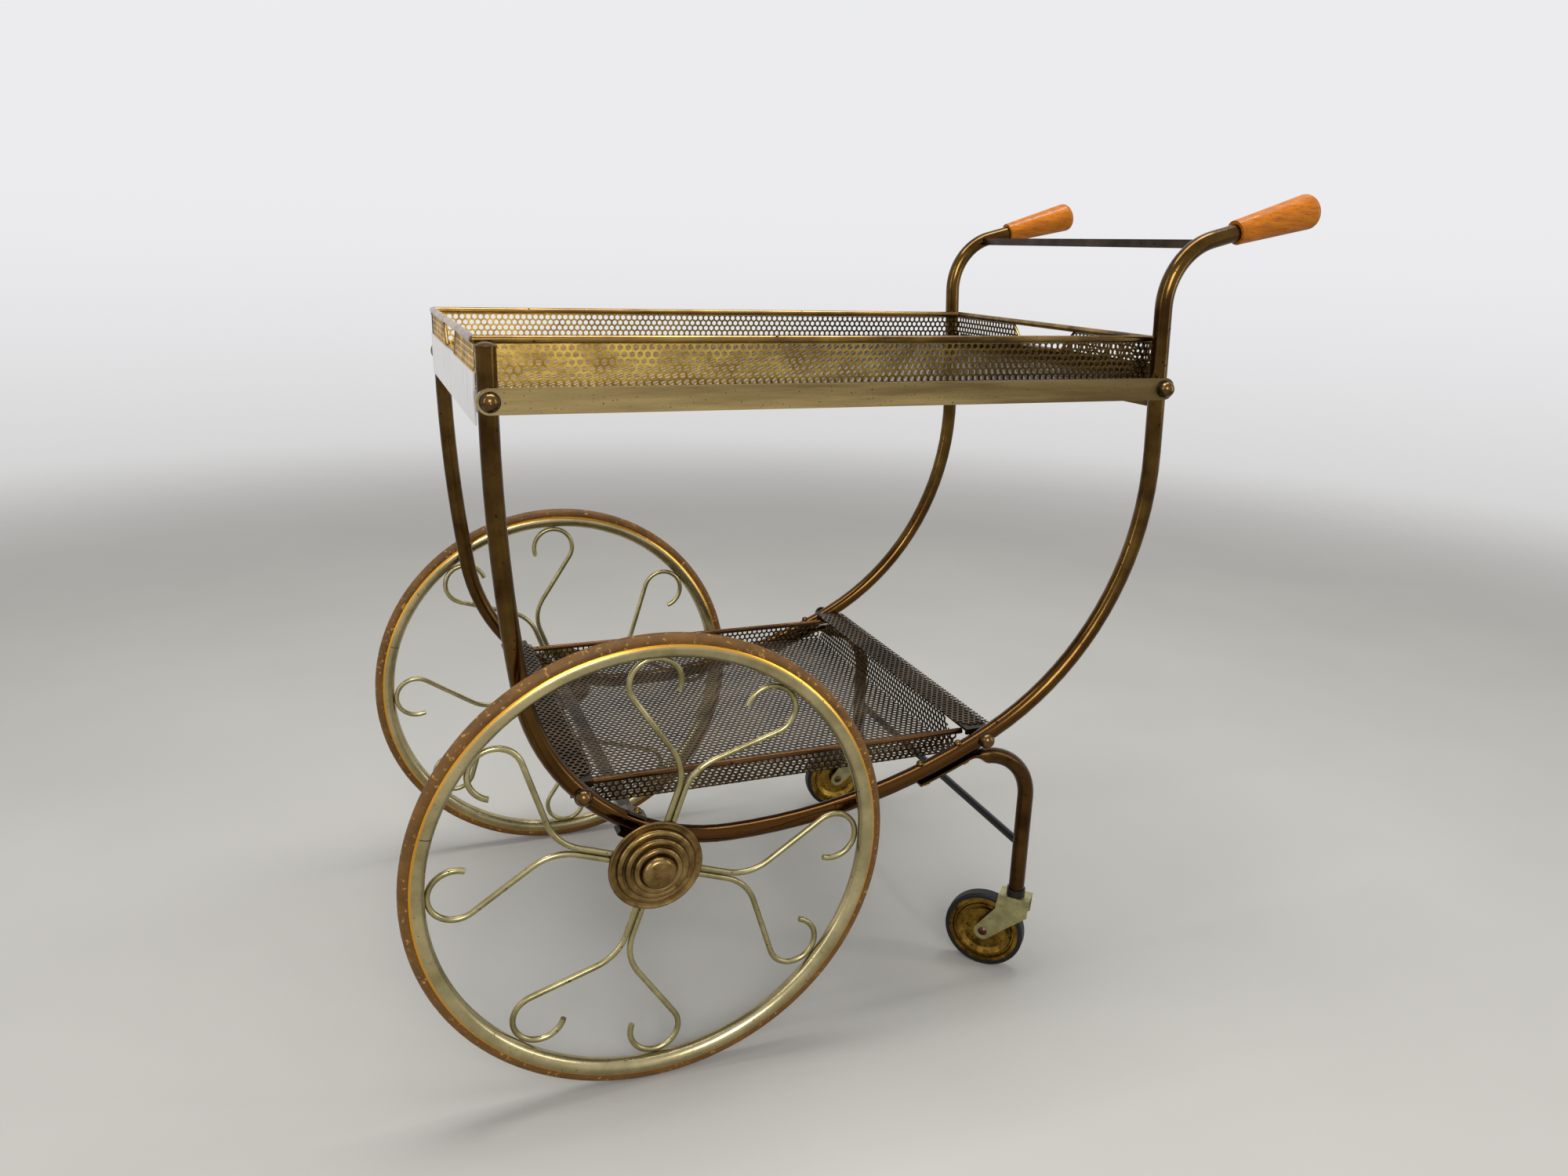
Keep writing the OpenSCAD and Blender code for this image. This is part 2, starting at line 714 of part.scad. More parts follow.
// Hand-hole outline in [y, z], open at the top
module handhole_outline() {
    side_angle = atan2(handhole_h, (handhole_top - handhole_bottom) / 2);
    tangent_len = handhole_round * tan(side_angle / 2);
    low = tray_wall_top - handhole_h;
    half = handhole_bottom / 2;
    inner = half - tangent_len;
    outer = [half + tangent_len * cos(side_angle), low + tangent_len * sin(side_angle)];
    over = 1;
    top_half = handhole_top / 2 + over / tan(side_angle);
    polygon([
        [-inner, low], [inner, low], outer, [top_half, tray_wall_top + over],
        [-top_half, tray_wall_top + over], [-outer[0], outer[1]]
    ]);
    for (s = [-1, 1]) translate([s * inner, low + handhole_round]) circle(handhole_round);
}

module upper_tray() {
    long = tray_len + sheet_t;
    wide = 2 * tray_y + sheet_t;
    wall_h = tray_wall_top - tray_z;
    field = [long - 2 * mesh_edge, wide - 2 * mesh_edge];
    end_field = (field[1] - handhole_top) / 2 - mesh_edge;
    color(sheet_brass) translate([tray_mid, 0, 0]) difference() {
        translate([-long / 2, -wide / 2, tray_z]) cube([long, wide, tray_wall_top - seat_gap - tray_z]);
        translate([-long / 2 + sheet_t, -wide / 2 + sheet_t, tray_z + sheet_t])
            cube([long - 2 * sheet_t, wide - 2 * sheet_t, tray_h]);
        translate([0, 0, tray_z - 1]) linear_extrude(sheet_t + 2) mesh_openings(field[0], field[1]);
        slab(-wide, wide) translate([0, tray_z + wall_h / 2]) mesh_openings(field[0], wall_h / 2);
        translate([-long, 0, 0]) rotate([90, 0, 90]) linear_extrude(2 * long) {
            handhole_outline();
            for (s = [-1, 1]) translate([s * (field[1] - end_field) / 2, tray_z + wall_h / 2])
                mesh_openings(end_field, wall_h / 2);
        }
    }
}

// Rolled rim round the tray, with round corners
module upper_tray_rim() {
    color(brass) translate([tray_mid, 0, rim_z]) {
        for (s = [-1, 1]) {
            translate([-tray_len / 2, s * tray_y, 0]) rotate([0, 90, 0])
                cylinder(h = tray_len, d = rim_bead_d);
            translate([s * tray_len / 2, -tray_y, 0]) rotate([-90, 0, 0])
                cylinder(h = 2 * tray_y, d = rim_bead_d);
            for (t = [-1, 1]) translate([s * tray_len / 2, t * tray_y, 0]) sphere(d = rim_bead_d);
        }
    }
}

// ---- Lower shelf ----

// End wall and flange of the shelf, for the end at +x of its middle
module shelf_end() {
    wall_x = shelf_len / 2;
    translate([wall_x, 0, 0]) rotate([90, 0, 90]) linear_extrude(sheet_t) difference() {
        polygon([
            [-shelf_y, shelf_floor], [shelf_y, shelf_floor],
            [shelf_y, shelf_floor + sheet_t], [fold_half, bar_top + sheet_t],
            [-fold_half, bar_top + sheet_t], [-shelf_y, shelf_floor + sheet_t]
        ]);
        translate([0, shelf_floor + shelf_depth / 2])
            mesh_openings(2 * (fold_half - mesh_edge), shelf_depth / 2);
    }
    translate([wall_x, 0, bar_top]) linear_extrude(sheet_t) polygon([
        [0, -fold_half], [flange_w, -flange_half], [flange_w, flange_half], [0, fold_half]
    ]);
}

module lower_shelf() {
    wall_h = rod_z - rod_d / 2 - seat_gap - shelf_floor;
    field = [shelf_len - 2 * mesh_edge, 2 * (shelf_y - mesh_edge)];
    color(sheet_brass) translate([shelf_mid, 0, 0]) {
        difference() {
            translate([-shelf_len / 2, -shelf_y, shelf_floor]) cube([shelf_len, 2 * shelf_y, wall_h]);
            translate([-shelf_len, -shelf_y + sheet_t, shelf_floor + sheet_t])
                cube([2 * shelf_len, 2 * (shelf_y - sheet_t), shelf_depth]);
            translate([0, 0, shelf_floor - 1]) linear_extrude(sheet_t + 2) mesh_openings(field[0], field[1]);
            slab(-2 * shelf_y, 2 * shelf_y) translate([0, shelf_floor + wall_h / 2])
                mesh_openings(field[0], wall_h / 2);
        }
        shelf_end();
        mirror([1, 0, 0]) shelf_end();
    }
}

// Rods on the upper edges of the shelf's side walls
module shelf_rods() {
    color(brass) both_sides()
        translate([fold_front - rod_over, -shelf_y + sheet_t / 2, rod_z]) rotate([0, 90, 0])
            cylinder(h = shelf_len + 2 * rod_over, d = rod_d);
}

// Flat bar across under a flange, its ends turned down inside the side tubes
module shelf_bar(point) {
    ear_low = point[1] - 7.5;
    color(dark_brass) difference() {
        union() {
            translate([point[0] - bar_w / 2, -tube_in, bar_top - bar_t]) cube([bar_w, 2 * tube_in, bar_t]);
            both_sides() slab(-tube_in, -tube_in + bar_t) {
                translate([point[0] - bar_w / 2, point[1]]) square([bar_w, bar_top - point[1]]);
                translate([point[0] - 7.5, ear_low]) square([15, bar_top - ear_low]);
            }
        }
        cross_rod(point, -tube_in - 1, tube_in + 1, bolt_d + 2 * fixed_fit);
    }
}

module shelf_bar_front() {
    shelf_bar(shelf_front);
}

module shelf_bar_rear() {
    shelf_bar(shelf_rear);
}

// The shelf bolts are screwed into the turned-down ends of the bars
module shelf_bolts() {
    color(dark_brass) cross_bolts([shelf_front, shelf_rear], tube_out + washer_t, tube_in - bar_t);
}

module shelf_washers() {
    color(black) cross_washers([shelf_front, shelf_rear], tube_out);
}

// ---- Axle ----

module axle() {
    color(silver) cross_rod(axle_at, -axle_end, axle_end, axle_d);
}

module axle_nuts() {
    color(silver) both_sides() translate([axle_at[0], -nut_in, axle_at[1]]) rotate([90, 0, 0])
        hex_nut(axle_nut_af, axle_nut_h, axle_d + 2 * fixed_fit);
}

// Bracket under each side tube: a plate that follows the bend, and an eye round the axle
module axle_brackets() {
    a1 = 180 + strap_heading - turn_of(8, front_bend_r);
    a2 = 180 + axle_heading + turn_of(8, front_bend_r);
    color(dark_brass) for (side = [-1, 1]) at_side(side, side_y) difference() {
        union() {
            arc_plate(front_centre, bracket_r, bracket_r + bracket_t, a1, a2, bracket_w);
            cross_rod(axle_at, -bracket_w / 2, bracket_w / 2, axle_d + 2 * bracket_wall);
        }
        cross_rod(axle_at, -bracket_w, bracket_w, axle_d + 2 * fixed_fit);
        on_tube(strap_at, strap_heading)
            translate([0, 0, -2 * tube_d]) cylinder(h = 2 * tube_d, d = small_bolt_d + 2 * fixed_fit);
    }
}

// Flat strap from tube to tube, dipping under the shelf
module axle_strap() {
    end_y = side_y + 6;
    bend_y = tube_in - 1;
    low_y = bend_y - 10;
    top = strap_seat + strap_t;
    color("#a9a79f") on_tube(strap_at, strap_heading) difference() {
        translate([-strap_w / 2, 0, 0]) rotate([90, 0, 90]) linear_extrude(strap_w) polygon([
            [-end_y, top], [-bend_y, top], [-low_y, strap_low],
            [low_y, strap_low], [bend_y, top], [end_y, top],
            [end_y, strap_seat], [bend_y, strap_seat], [low_y, strap_low - strap_t],
            [-low_y, strap_low - strap_t], [-bend_y, strap_seat], [-end_y, strap_seat]
        ]);
        for (side = [-1, 1]) translate([0, side * side_y, 0])
            cylinder(h = 2 * top, d = small_bolt_d + 2 * fixed_fit);
    }
}

module axle_strap_bolts() {
    top = strap_seat + strap_t;
    bolt_len = top + strap_seat + bracket_t;
    color(dark_brass) for (side = [-1, 1]) at_side(side, side_y) on_tube(strap_at, strap_heading) {
        translate([0, 0, top]) dome(small_dome_d, small_dome_h);
        translate([0, 0, top - bolt_len]) cylinder(h = bolt_len + 0.5, d = small_bolt_d);
    }
}

// ---- Big wheels: each drawn round the origin, its outer side towards -y ----

// Puts a left wheel's piece on its side, turned about the axle
module wheel_place(side) {
    turn = side < 0 ? wheel_turn_left : wheel_turn_right;
    left_piece(side) translate([axle_at[0], -wheel_y, axle_at[1]]) rotate([0, -turn, 0]) children();
}

// Turns an outline of [radius, distance outwards] round the axle
module turned() {
    rotate([90, 0, 0]) rotate_extrude() children();
}

// Round outline of the rim with a neck for the tyre, drawn in by inset and cut off at a radius
module rim_outline(inset, outer_r) {
    neck = tyre_w / 4 - inset;
    intersection() {
        union() {
            translate([rim_round_r, 0]) circle(d = rim_w - 2 * inset);
            translate([rim_round_r, -neck]) square([rim_w, 2 * neck]);
        }
        translate([0, -rim_w]) square([outer_r, 2 * rim_w]);
    }
}

// Channel of the rim, open outwards
module wheel_rim(side) {
    color(pale_brass) wheel_place(side) turned() difference() {
        rim_outline(0, rim_out_r);
        rim_outline(rim_wall, rim_out_r + 1);
    }
}

// Solid tyre: its root fills the channel, its head is round
module wheel_tyre(side) {
    head = rim_out_r + seat_gap;
    color("#7a4a22") wheel_place(side) turned() {
        rim_outline(rim_wall + seat_gap, head + lap);
        intersection() {
            translate([wheel_r - tyre_w / 2, 0]) circle(d = tyre_w);
            translate([head, -tyre_w]) square([tyre_w, 2 * tyre_w]);
        }
    }
}

// One hooked wire. It leaves the hub along +x, beside its pair's middle line, and curls back to it.
module spoke_wire() {
    hook_end = part_turn - hook_turn;
    straight_from = drum_d / 2 + seat_gap;
    translate([straight_from, 0, wire_v]) rotate([0, 90, 0])
        cylinder(h = pair_straight - straight_from, d = wire_d);
    bend_wire([pair_straight, wire_v + part_r], part_r, -90, part_turn - 90);
    translate([part_end[0], 0, part_end[1]]) rotate([0, 90 - part_turn, 0])
        cylinder(h = wire_straight, d = wire_d);
    bend_wire(hook_centre, hook_r, hook_end + 90, part_turn + 90);
}

// Bent wire that reaches into the straight lengths at its ends
module bend_wire(centre, r, a1, a2) {
    reach = turn_of(lap, r);
    translate([centre[0], 0, centre[1]]) rotate([90, 0, 0])
        rotate_extrude(angle = a2 - a1 + 2 * reach, start = a1 - reach)
            translate([r, 0]) circle(d = wire_d - lap_step);
}

module wheel_spokes(side) {
    color(pale_brass) wheel_place(side) translate([0, spoke_offset, 0])
        for (i = [0 : spoke_pairs - 1]) rotate([0, -i * 360 / spoke_pairs, 0]) {
            spoke_wire();
            mirror([0, 0, 1]) spoke_wire();
        }
}

// Drum that the spokes run into, on a sleeve that turns on the axle
module wheel_hub(side) {
    drum_out = cap_y - seat_gap - wheel_y;
    color(dark_brass) wheel_place(side) difference() {
        union() {
            translate([0, drum_t - drum_out, 0]) rotate([90, 0, 0]) cylinder(h = drum_t, d = drum_d);
            translate([0, wheel_y - sleeve_in, 0]) rotate([90, 0, 0])
                cylinder(h = sleeve_out - sleeve_in, d = sleeve_d);
        }
        translate([0, wheel_y, 0]) rotate([90, 0, 0]) cylinder(h = 2 * wheel_y, d = axle_d + 2 * run_fit);
    }
}

// Outer radius and height of step i of the hub cap, counted from its flange
function cap_step_r(i) = cap_d / 2 + (cap_boss_d - cap_d) / 2 * i / cap_steps;
function cap_step_h(i) =
    i == cap_steps ? cap_h : cap_flange_h + (cap_h - cap_boss_h - cap_flange_h) * i / (cap_steps - 1);

// Disc outline with a rounded outer edge
module soft_disc(r, h, edge) {
    square([r - edge, h]);
    square([r, h - edge]);
    translate([r - edge, h - edge]) circle(edge);
}

// Stepped pressed cap with a boss in the middle
module hub_cap(side) {
    color("#6f5a30") wheel_place(side) translate([0, wheel_y - cap_y, 0]) turned() difference() {
        union() {
            soft_disc(cap_step_r(0), cap_flange_h, 0.7);
            for (i = [1 : cap_steps]) soft_disc(cap_step_r(i), cap_step_h(i), 1.4);
        }
        translate([0, -1]) for (i = [1 : cap_steps])
            square([cap_step_r(i) - cap_wall, cap_step_h(i) - cap_wall + 1]);
        translate([-cap_d, -cap_d]) square([2 * cap_d, cap_d]);
    }
}

// ---- Caster legs ----

// Bent leg: a flattened end under the side tube, a flare, a bend and a straight foot
module caster_leg(side) {
    over = turn_of(flat_over, belly_r);
    flat_r = belly_r + flat_seat;
    a1 = 180 + leg_far_h - over;
    a2 = 180 + leg_near_h + over;
    flat_end = on_bend(belly_centre, flat_r + flat_t / 2, leg_near_h + over);
    round_start = leg_centre + leg_bend_r * inward(leg_round_h);
    color(dark_brass) at_side(side, side_y) difference() {
        union() {
            arc_plate(belly_centre, flat_r, flat_r + flat_t, a1, a2, flat_w);
            hull() {
                on_tube(flat_end, leg_near_h + over)
                    translate([-lap, (lap_step - flat_w) / 2, (lap_step - flat_t) / 2])
                    cube([lap, flat_w - lap_step, flat_t - lap_step]);
                on_tube(round_start, leg_round_h) rotate([0, 90, 0]) cylinder(h = lap, d = tube_d, $fn = 32);
            }
            lapped_bend(leg_centre, leg_bend_r, 0, leg_round_h, tube_d, tube_wall);
            straight_run([leg_x, leg_centre[1]], 0, leg_centre[1] - foot_z, tube_d, tube_wall);
        }
        for (h = [leg_near_h, leg_far_h])
            on_tube(on_bend(belly_centre, belly_r, h), h)
                translate([0, 0, -2 * tube_d]) cylinder(h = 2 * tube_d, d = small_bolt_d + 2 * fixed_fit);
    }
}

// Places children at both bolts of both legs, z pointing up through the side tube
module at_leg_bolts() {
    for (side = [-1, 1], h = [leg_near_h, leg_far_h])
        at_side(side, side_y) on_tube(on_bend(belly_centre, belly_r, h), h) children();
}

module leg_bolts() {
    bolt_low = flat_seat + flat_t + nut_h + 1;
    color(dark_brass) at_leg_bolts() {
        translate([0, 0, flat_seat]) dome(small_dome_d, small_dome_h);
        translate([0, 0, -bolt_low]) cylinder(h = bolt_low + flat_seat + 0.5, d = small_bolt_d);
    }
}

module leg_nuts() {
    color(brass) at_leg_bolts() translate([0, 0, -flat_seat - flat_t - nut_h - seat_gap])
        hex_nut(nut_af, nut_h, small_bolt_d + 2 * fixed_fit);
}

module leg_stretcher() {
    color(black) cross_rod([leg_x, stretcher_z], -tube_in, tube_in, stretcher_d);
}

// Socket in each leg's foot: a collar outside, a bushing for the stem inside
module caster_sockets() {
    leg_bore = tube_d - 2 * tube_wall;
    color(black) for (side = [-1, 1]) translate([leg_x, side * side_y, socket_z]) difference() {
        union() {
            cylinder(h = collar_h, d = collar_d);
            cylinder(h = stem_len, d = leg_bore - 2 * fixed_fit);
        }
        translate([0, 0, foot_z - socket_z]) difference() {
            cylinder(h = collar_h, d = tube_d + 2 * fixed_fit);
            translate([0, 0, -1]) cylinder(h = collar_h + 2, d = leg_bore - 2 * fixed_fit);
        }
        translate([0, 0, -1]) cylinder(h = stem_len + 2, d = stem_d + 2 * run_fit);
    }
}

// ---- Casters: each drawn with its swivel at x = 0 and its wheel trailing towards +x ----

module caster_place(side) {
    turn = side < 0 ? caster_turn_left : caster_turn_right;
    translate([leg_x, side * side_y, 0]) rotate([0, 0, turn]) children();
}

// Side cheek of the fork in [trail, z]
module fork_cheek() {
    wheel_at = [caster_trail, caster_r];
    front = -fork_top_len / 2;
    back = fork_top_len / 2;
    shoulder = [back + 2, swivel_z - 16];
    belly = [0, swivel_z - 31];
    upper = touch_point(shoulder, wheel_at, fork_boss_r, -1);
    lower = touch_point(belly, wheel_at, fork_boss_r, 1);
    polygon([
        [front, swivel_z], [back, swivel_z], shoulder, upper,
        wheel_at, lower, belly, [front + 1, swivel_z - 19]
    ]);
    translate(wheel_at) circle(fork_boss_r);
}

module caster_fork(side) {
    color("#7a7250") caster_place(side) difference() {
        union() {
            translate([-fork_top_len / 2, -fork_out, swivel_z - fork_t])
                cube([fork_top_len, 2 * fork_out, fork_t]);
            both_sides() slab(-fork_out, -fork_in) fork_cheek();
        }
        cylinder(h = 2 * swivel_z, d = stem_d + 2 * fixed_fit);
        cross_rod([caster_trail, caster_r], -2 * fork_out, 2 * fork_out, pin_d + 2 * fixed_fit);
    }
}

// Stem riveted into the fork and turning in the leg's socket
module caster_stem(side) {
    rivet_h = 2;
    color(silver) caster_place(side) translate([0, 0, swivel_z - fork_t]) {
        cylinder(h = stem_len + fork_t, d = stem_d);
        translate([0, 0, -rivet_h - seat_gap]) cylinder(h = rivet_h, d = stem_d + 4);
        translate([0, 0, -seat_gap - 1]) cylinder(h = seat_gap + 2, d = stem_d);
    }
}

// Axle pin with a round head on each side of the fork
module caster_axle(side) {
    color("#3a2a18") caster_place(side) translate([caster_trail, 0, caster_r]) {
        rotate([90, 0, 0]) cylinder(h = 2 * (fork_out + 0.5), d = pin_d, center = true);
        both_sides() translate([0, -fork_out, 0]) rotate([90, 0, 0]) dome(pin_d + 3, 2);
    }
}

// Pressed disc of the caster wheel: hub, dish, bevel and flat outer ring, as [radius, half width]
module disc_outline() {
    disc_r = caster_r - caster_tyre_t;
    hub_r = 7;
    bore_r = pin_d / 2 + run_fit;
    half = [
        [bore_r, fork_in - turn_gap],
        [hub_r, fork_in - turn_gap],
        [hub_r, 3.2],
        [disc_r - 13, 3.2],
        [disc_r - 8, 5.8],
        [disc_r - 7, 5.8],
        [disc_r - 6, 4.2],
        [disc_r - 4.5, 4.2],
        [disc_r - 3.5, caster_w / 2 - 0.3],
        [disc_r, caster_w / 2 - 0.3]
    ];
    other_half = [for (i = [len(half) - 1 : -1 : 0]) [half[i][0], -half[i][1]]];
    polygon(concat(half, other_half));
}

module caster_disc(side) {
    color("#a5812a") caster_place(side) translate([caster_trail, 0, caster_r]) turned() disc_outline();
}

module caster_tyre(side) {
    inner = caster_r - caster_tyre_t + seat_gap;
    shoulder = 2.2;
    color(black) caster_place(side) translate([caster_trail, 0, caster_r]) turned() {
        translate([inner, -caster_w / 2]) square([caster_r - shoulder - inner, caster_w]);
        translate([inner, -caster_w / 2 + shoulder]) square([caster_r - inner, caster_w - 2 * shoulder]);
        for (s = [-1, 1]) translate([caster_r - shoulder, s * (caster_w / 2 - shoulder)]) circle(shoulder);
    }
}

// ---- The nodes ----

side_tube(-1);  // side_tube_left
side_tube(1);  // side_tube_right
post_caps();
grip(-1);  // grip_left
grip(1);  // grip_right
handle_crossbar();
side_rail(-1);  // side_rail_left
side_rail(1);  // side_rail_right
front_cross_plate();
rear_cross_plate();
rail_bolts();
rail_washers();
rail_nuts();
upper_tray();
upper_tray_rim();
lower_shelf();
shelf_rods();
shelf_bar_front();
shelf_bar_rear();
shelf_bolts();
shelf_washers();
axle();
axle_nuts();
axle_brackets();
axle_strap();
axle_strap_bolts();
wheel_rim(-1);  // wheel_rim_left
wheel_tyre(-1);  // wheel_tyre_left
wheel_spokes(-1);  // wheel_spokes_left
wheel_hub(-1);  // wheel_hub_left
hub_cap(-1);  // hub_cap_left
wheel_rim(1);  // wheel_rim_right
wheel_tyre(1);  // wheel_tyre_right
wheel_spokes(1);  // wheel_spokes_right
wheel_hub(1);  // wheel_hub_right
hub_cap(1);  // hub_cap_right
caster_leg(-1);  // caster_leg_left
caster_leg(1);  // caster_leg_right
leg_bolts();
leg_nuts();
leg_stretcher();
caster_sockets();
caster_fork(-1);  // caster_fork_left
caster_stem(-1);  // caster_stem_left
caster_axle(-1);  // caster_axle_left
caster_disc(-1);  // caster_disc_left
caster_tyre(-1);  // caster_tyre_left
caster_fork(1);  // caster_fork_right
caster_stem(1);  // caster_stem_right
caster_axle(1);  // caster_axle_right
caster_disc(1);  // caster_disc_right
caster_tyre(1);  // caster_tyre_right
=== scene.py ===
# %% [markdown]
# # A brass serving trolley
# The trolley has two bent side tubes, a perforated tray that lifts off, a perforated shelf below, two
# large spoked wheels and two swivel casters. The solids come from a construction model. This lesson
# loads them, models what a plain solid can't show (holes, long smooth bends, wire), and gives every
# surface its finish.

# %% Load the solids
import math

import bpy
from mathutils import Matrix, Vector


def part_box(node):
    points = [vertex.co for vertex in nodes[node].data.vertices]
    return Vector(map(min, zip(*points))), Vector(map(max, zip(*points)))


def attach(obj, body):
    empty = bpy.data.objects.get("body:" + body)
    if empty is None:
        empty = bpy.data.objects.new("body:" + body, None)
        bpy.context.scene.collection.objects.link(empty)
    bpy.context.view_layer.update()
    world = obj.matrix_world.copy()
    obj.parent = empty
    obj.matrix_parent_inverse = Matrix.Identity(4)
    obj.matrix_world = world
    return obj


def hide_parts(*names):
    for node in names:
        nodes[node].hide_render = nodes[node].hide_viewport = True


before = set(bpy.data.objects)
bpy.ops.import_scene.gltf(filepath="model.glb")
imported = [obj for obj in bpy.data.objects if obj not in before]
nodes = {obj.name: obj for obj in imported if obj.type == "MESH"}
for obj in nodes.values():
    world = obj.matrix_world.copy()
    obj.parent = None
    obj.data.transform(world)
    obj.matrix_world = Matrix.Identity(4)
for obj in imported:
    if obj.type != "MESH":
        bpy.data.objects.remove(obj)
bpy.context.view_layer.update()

# %% [markdown]
# The sizes below are the construction model's own, in millimetres. Blender works in metres, so every
# length goes through one factor. Where a solid already has the size or place, it is read from the box
# round that solid. Distances along the trolley are counted from its middle, heights from the floor. A
# heading is the way a tube runs in side view: 0 is straight down, 90 is towards the handles.

# %% Sizes shared with the solids
MM = 0.001
TUBE_D, TUBE_SIDES = 15.0, 28
SHEET_T, HOLE_D, HOLE_PITCH = 1.0, 4.7, 6.0


def box_mm(node):
    """Lowest and highest corner of a solid, in millimetres."""
    low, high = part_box(node)
    return low / MM, high / MM


axle_low, axle_high = box_mm("axle")
AXLE = ((axle_low.x + axle_high.x) / 2, (axle_low.z + axle_high.z) / 2)
tube_low, tube_high = box_mm("side_tube_right")
TRACK = tube_low.y + tube_high.y
print("axle at", [round(v, 2) for v in AXLE], "mm, tubes", round(TRACK, 1), "mm apart")


def along(heading):
    """Direction of a run with this heading, in side view."""
    return Vector((math.sin(math.radians(heading)), 0, -math.cos(math.radians(heading))))


def inward(heading):
    """Direction to the inside of the trolley's curve, square to a run with this heading."""
    return Vector((math.cos(math.radians(heading)), 0, math.sin(math.radians(heading))))


# %% [markdown]
# ## The camera
# A photograph's view is set by where the lens stood, which way it pointed, how far it was tilted and how
# wide it sees. The camera here stands in front of the near side, about a metre away and 684 mm high,
# looks down by about 17 degrees, and leans by under two degrees. A 26 mm lens gives the strong
# perspective that makes the near wheel so much larger than the far one.

# %% Camera
camera_at = Vector((-415.25, -1016.40, 683.67)) * MM
looks = Vector((0.34988, 0.89188, -0.28658)).normalized()
right_of_view = Vector((0.93363, -0.35711, 0.02848))
right_of_view = (right_of_view - right_of_view.dot(looks) * looks).normalized()
up_of_view = right_of_view.cross(looks)
camera_data = bpy.data.cameras.new("camera")
camera_data.sensor_width = 36
camera_data.lens = 26.088
camera_data.clip_start = 0.05
camera = bpy.data.objects.new("camera", camera_data)
bpy.context.scene.collection.objects.link(camera)
turn = Matrix((right_of_view, up_of_view, -looks)).transposed().to_4x4()
camera.matrix_world = Matrix.Translation(camera_at) @ turn
bpy.context.scene.camera = camera
print("camera at", [round(v, 3) for v in camera_at], "lens", camera_data.lens, "mm")

# %% [markdown]
# ## Tools for modelling
# Blender's operators act on what is selected, so each piece starts by clearing the selection. A
# finished piece keeps its place in its mesh and its object at the origin, which is what patterns in
# object coordinates need.

# %% Helpers for a piece


def select_only(piece):
    if bpy.context.object and bpy.context.object.mode != "OBJECT":
        bpy.ops.object.mode_set(mode="OBJECT")
    bpy.ops.object.select_all(action="DESELECT")
    piece.select_set(True)
    bpy.context.view_layer.objects.active = piece


def settle(piece, name, smooth_angle=40):
    """Puts the piece's place into its mesh, names it and smooths it."""
    select_only(piece)
    bpy.ops.object.transform_apply(location=True, rotation=True, scale=True)
    bpy.ops.object.mode_set(mode="EDIT")
    bpy.ops.mesh.select_all(action="SELECT")
    bpy.ops.mesh.normals_make_consistent(inside=False)
    bpy.ops.object.mode_set(mode="OBJECT")
    bpy.ops.object.shade_smooth_by_angle(angle=math.radians(smooth_angle))
    piece.name = name
    piece.data.name = name
    print(name, "has", len(piece.data.polygons), "faces")
    return piece


def copy_of(piece):
    """A second piece with a mesh of its own."""
    twin = piece.copy()
    twin.data = piece.data.copy()
    bpy.context.scene.collection.objects.link(twin)
    return twin


def joined(pieces):
    select_only(pieces[0])
    for piece in pieces[1:]:
        piece.select_set(True)
    bpy.ops.object.join()
    return bpy.context.object


def apply_modifier(piece, kind, **settings):
    select_only(piece)
    modifier = piece.modifiers.new(kind.lower(), kind)
    for key, value in settings.items():
        setattr(modifier, key, value)
    bpy.ops.object.modifier_apply(modifier=modifier.name)


# %% [markdown]
# ## Bent tube and wire
# A real tube is bent round formers, so it is made of straight lengths and parts of a circle, all of one
# thickness. A curve with a bevel could draw it, but spinning and extruding one ring of edges is closer
# to how it is bent, and it keeps the section truly round. The three helpers below start a ring,
# push it straight on, and swing it round a centre.

# %% Helpers for bent tube


def start_ring(point, heading, diameter, sides):
    bpy.ops.object.select_all(action="DESELECT")
    bpy.ops.mesh.primitive_circle_add(
        vertices=sides, radius=diameter / 2 * MM, location=point * MM,
        rotation=(0, math.radians(180 - heading), 0))
    bpy.ops.object.transform_apply(location=True, rotation=True, scale=True)
    bpy.ops.object.mode_set(mode="EDIT")
    bpy.ops.mesh.select_all(action="SELECT")
    return bpy.context.object


def push(heading, length):
    bpy.ops.mesh.extrude_region_move(TRANSFORM_OT_translate={"value": along(heading) * length * MM})


def swing(centre, degrees, steps):
    """Turns the ring round a centre. A positive turn raises the heading."""
    bpy.ops.mesh.spin(steps=steps, angle=math.radians(degrees), center=centre * MM, axis=(0, 1, 0))


def close_ends(piece):
    bpy.ops.mesh.select_all(action="SELECT")
    bpy.ops.mesh.remove_doubles(threshold=0.00001)
    bpy.ops.mesh.select_all(action="SELECT")
    bpy.ops.mesh.fill_holes(sides=0)
    bpy.ops.object.mode_set(mode="OBJECT")


# %% [markdown]
# ## Side tubes
# Each side tube is one length: the front post, a long sweep, the bend over the axle, the belly under
# the shelf, the rise to the back, a straight length and the handle. The centres of the bends follow
# from the radii and headings, one after another, starting from the point of the tube that is nearest
# to the axle. The last number of each swing is its count of short steps.

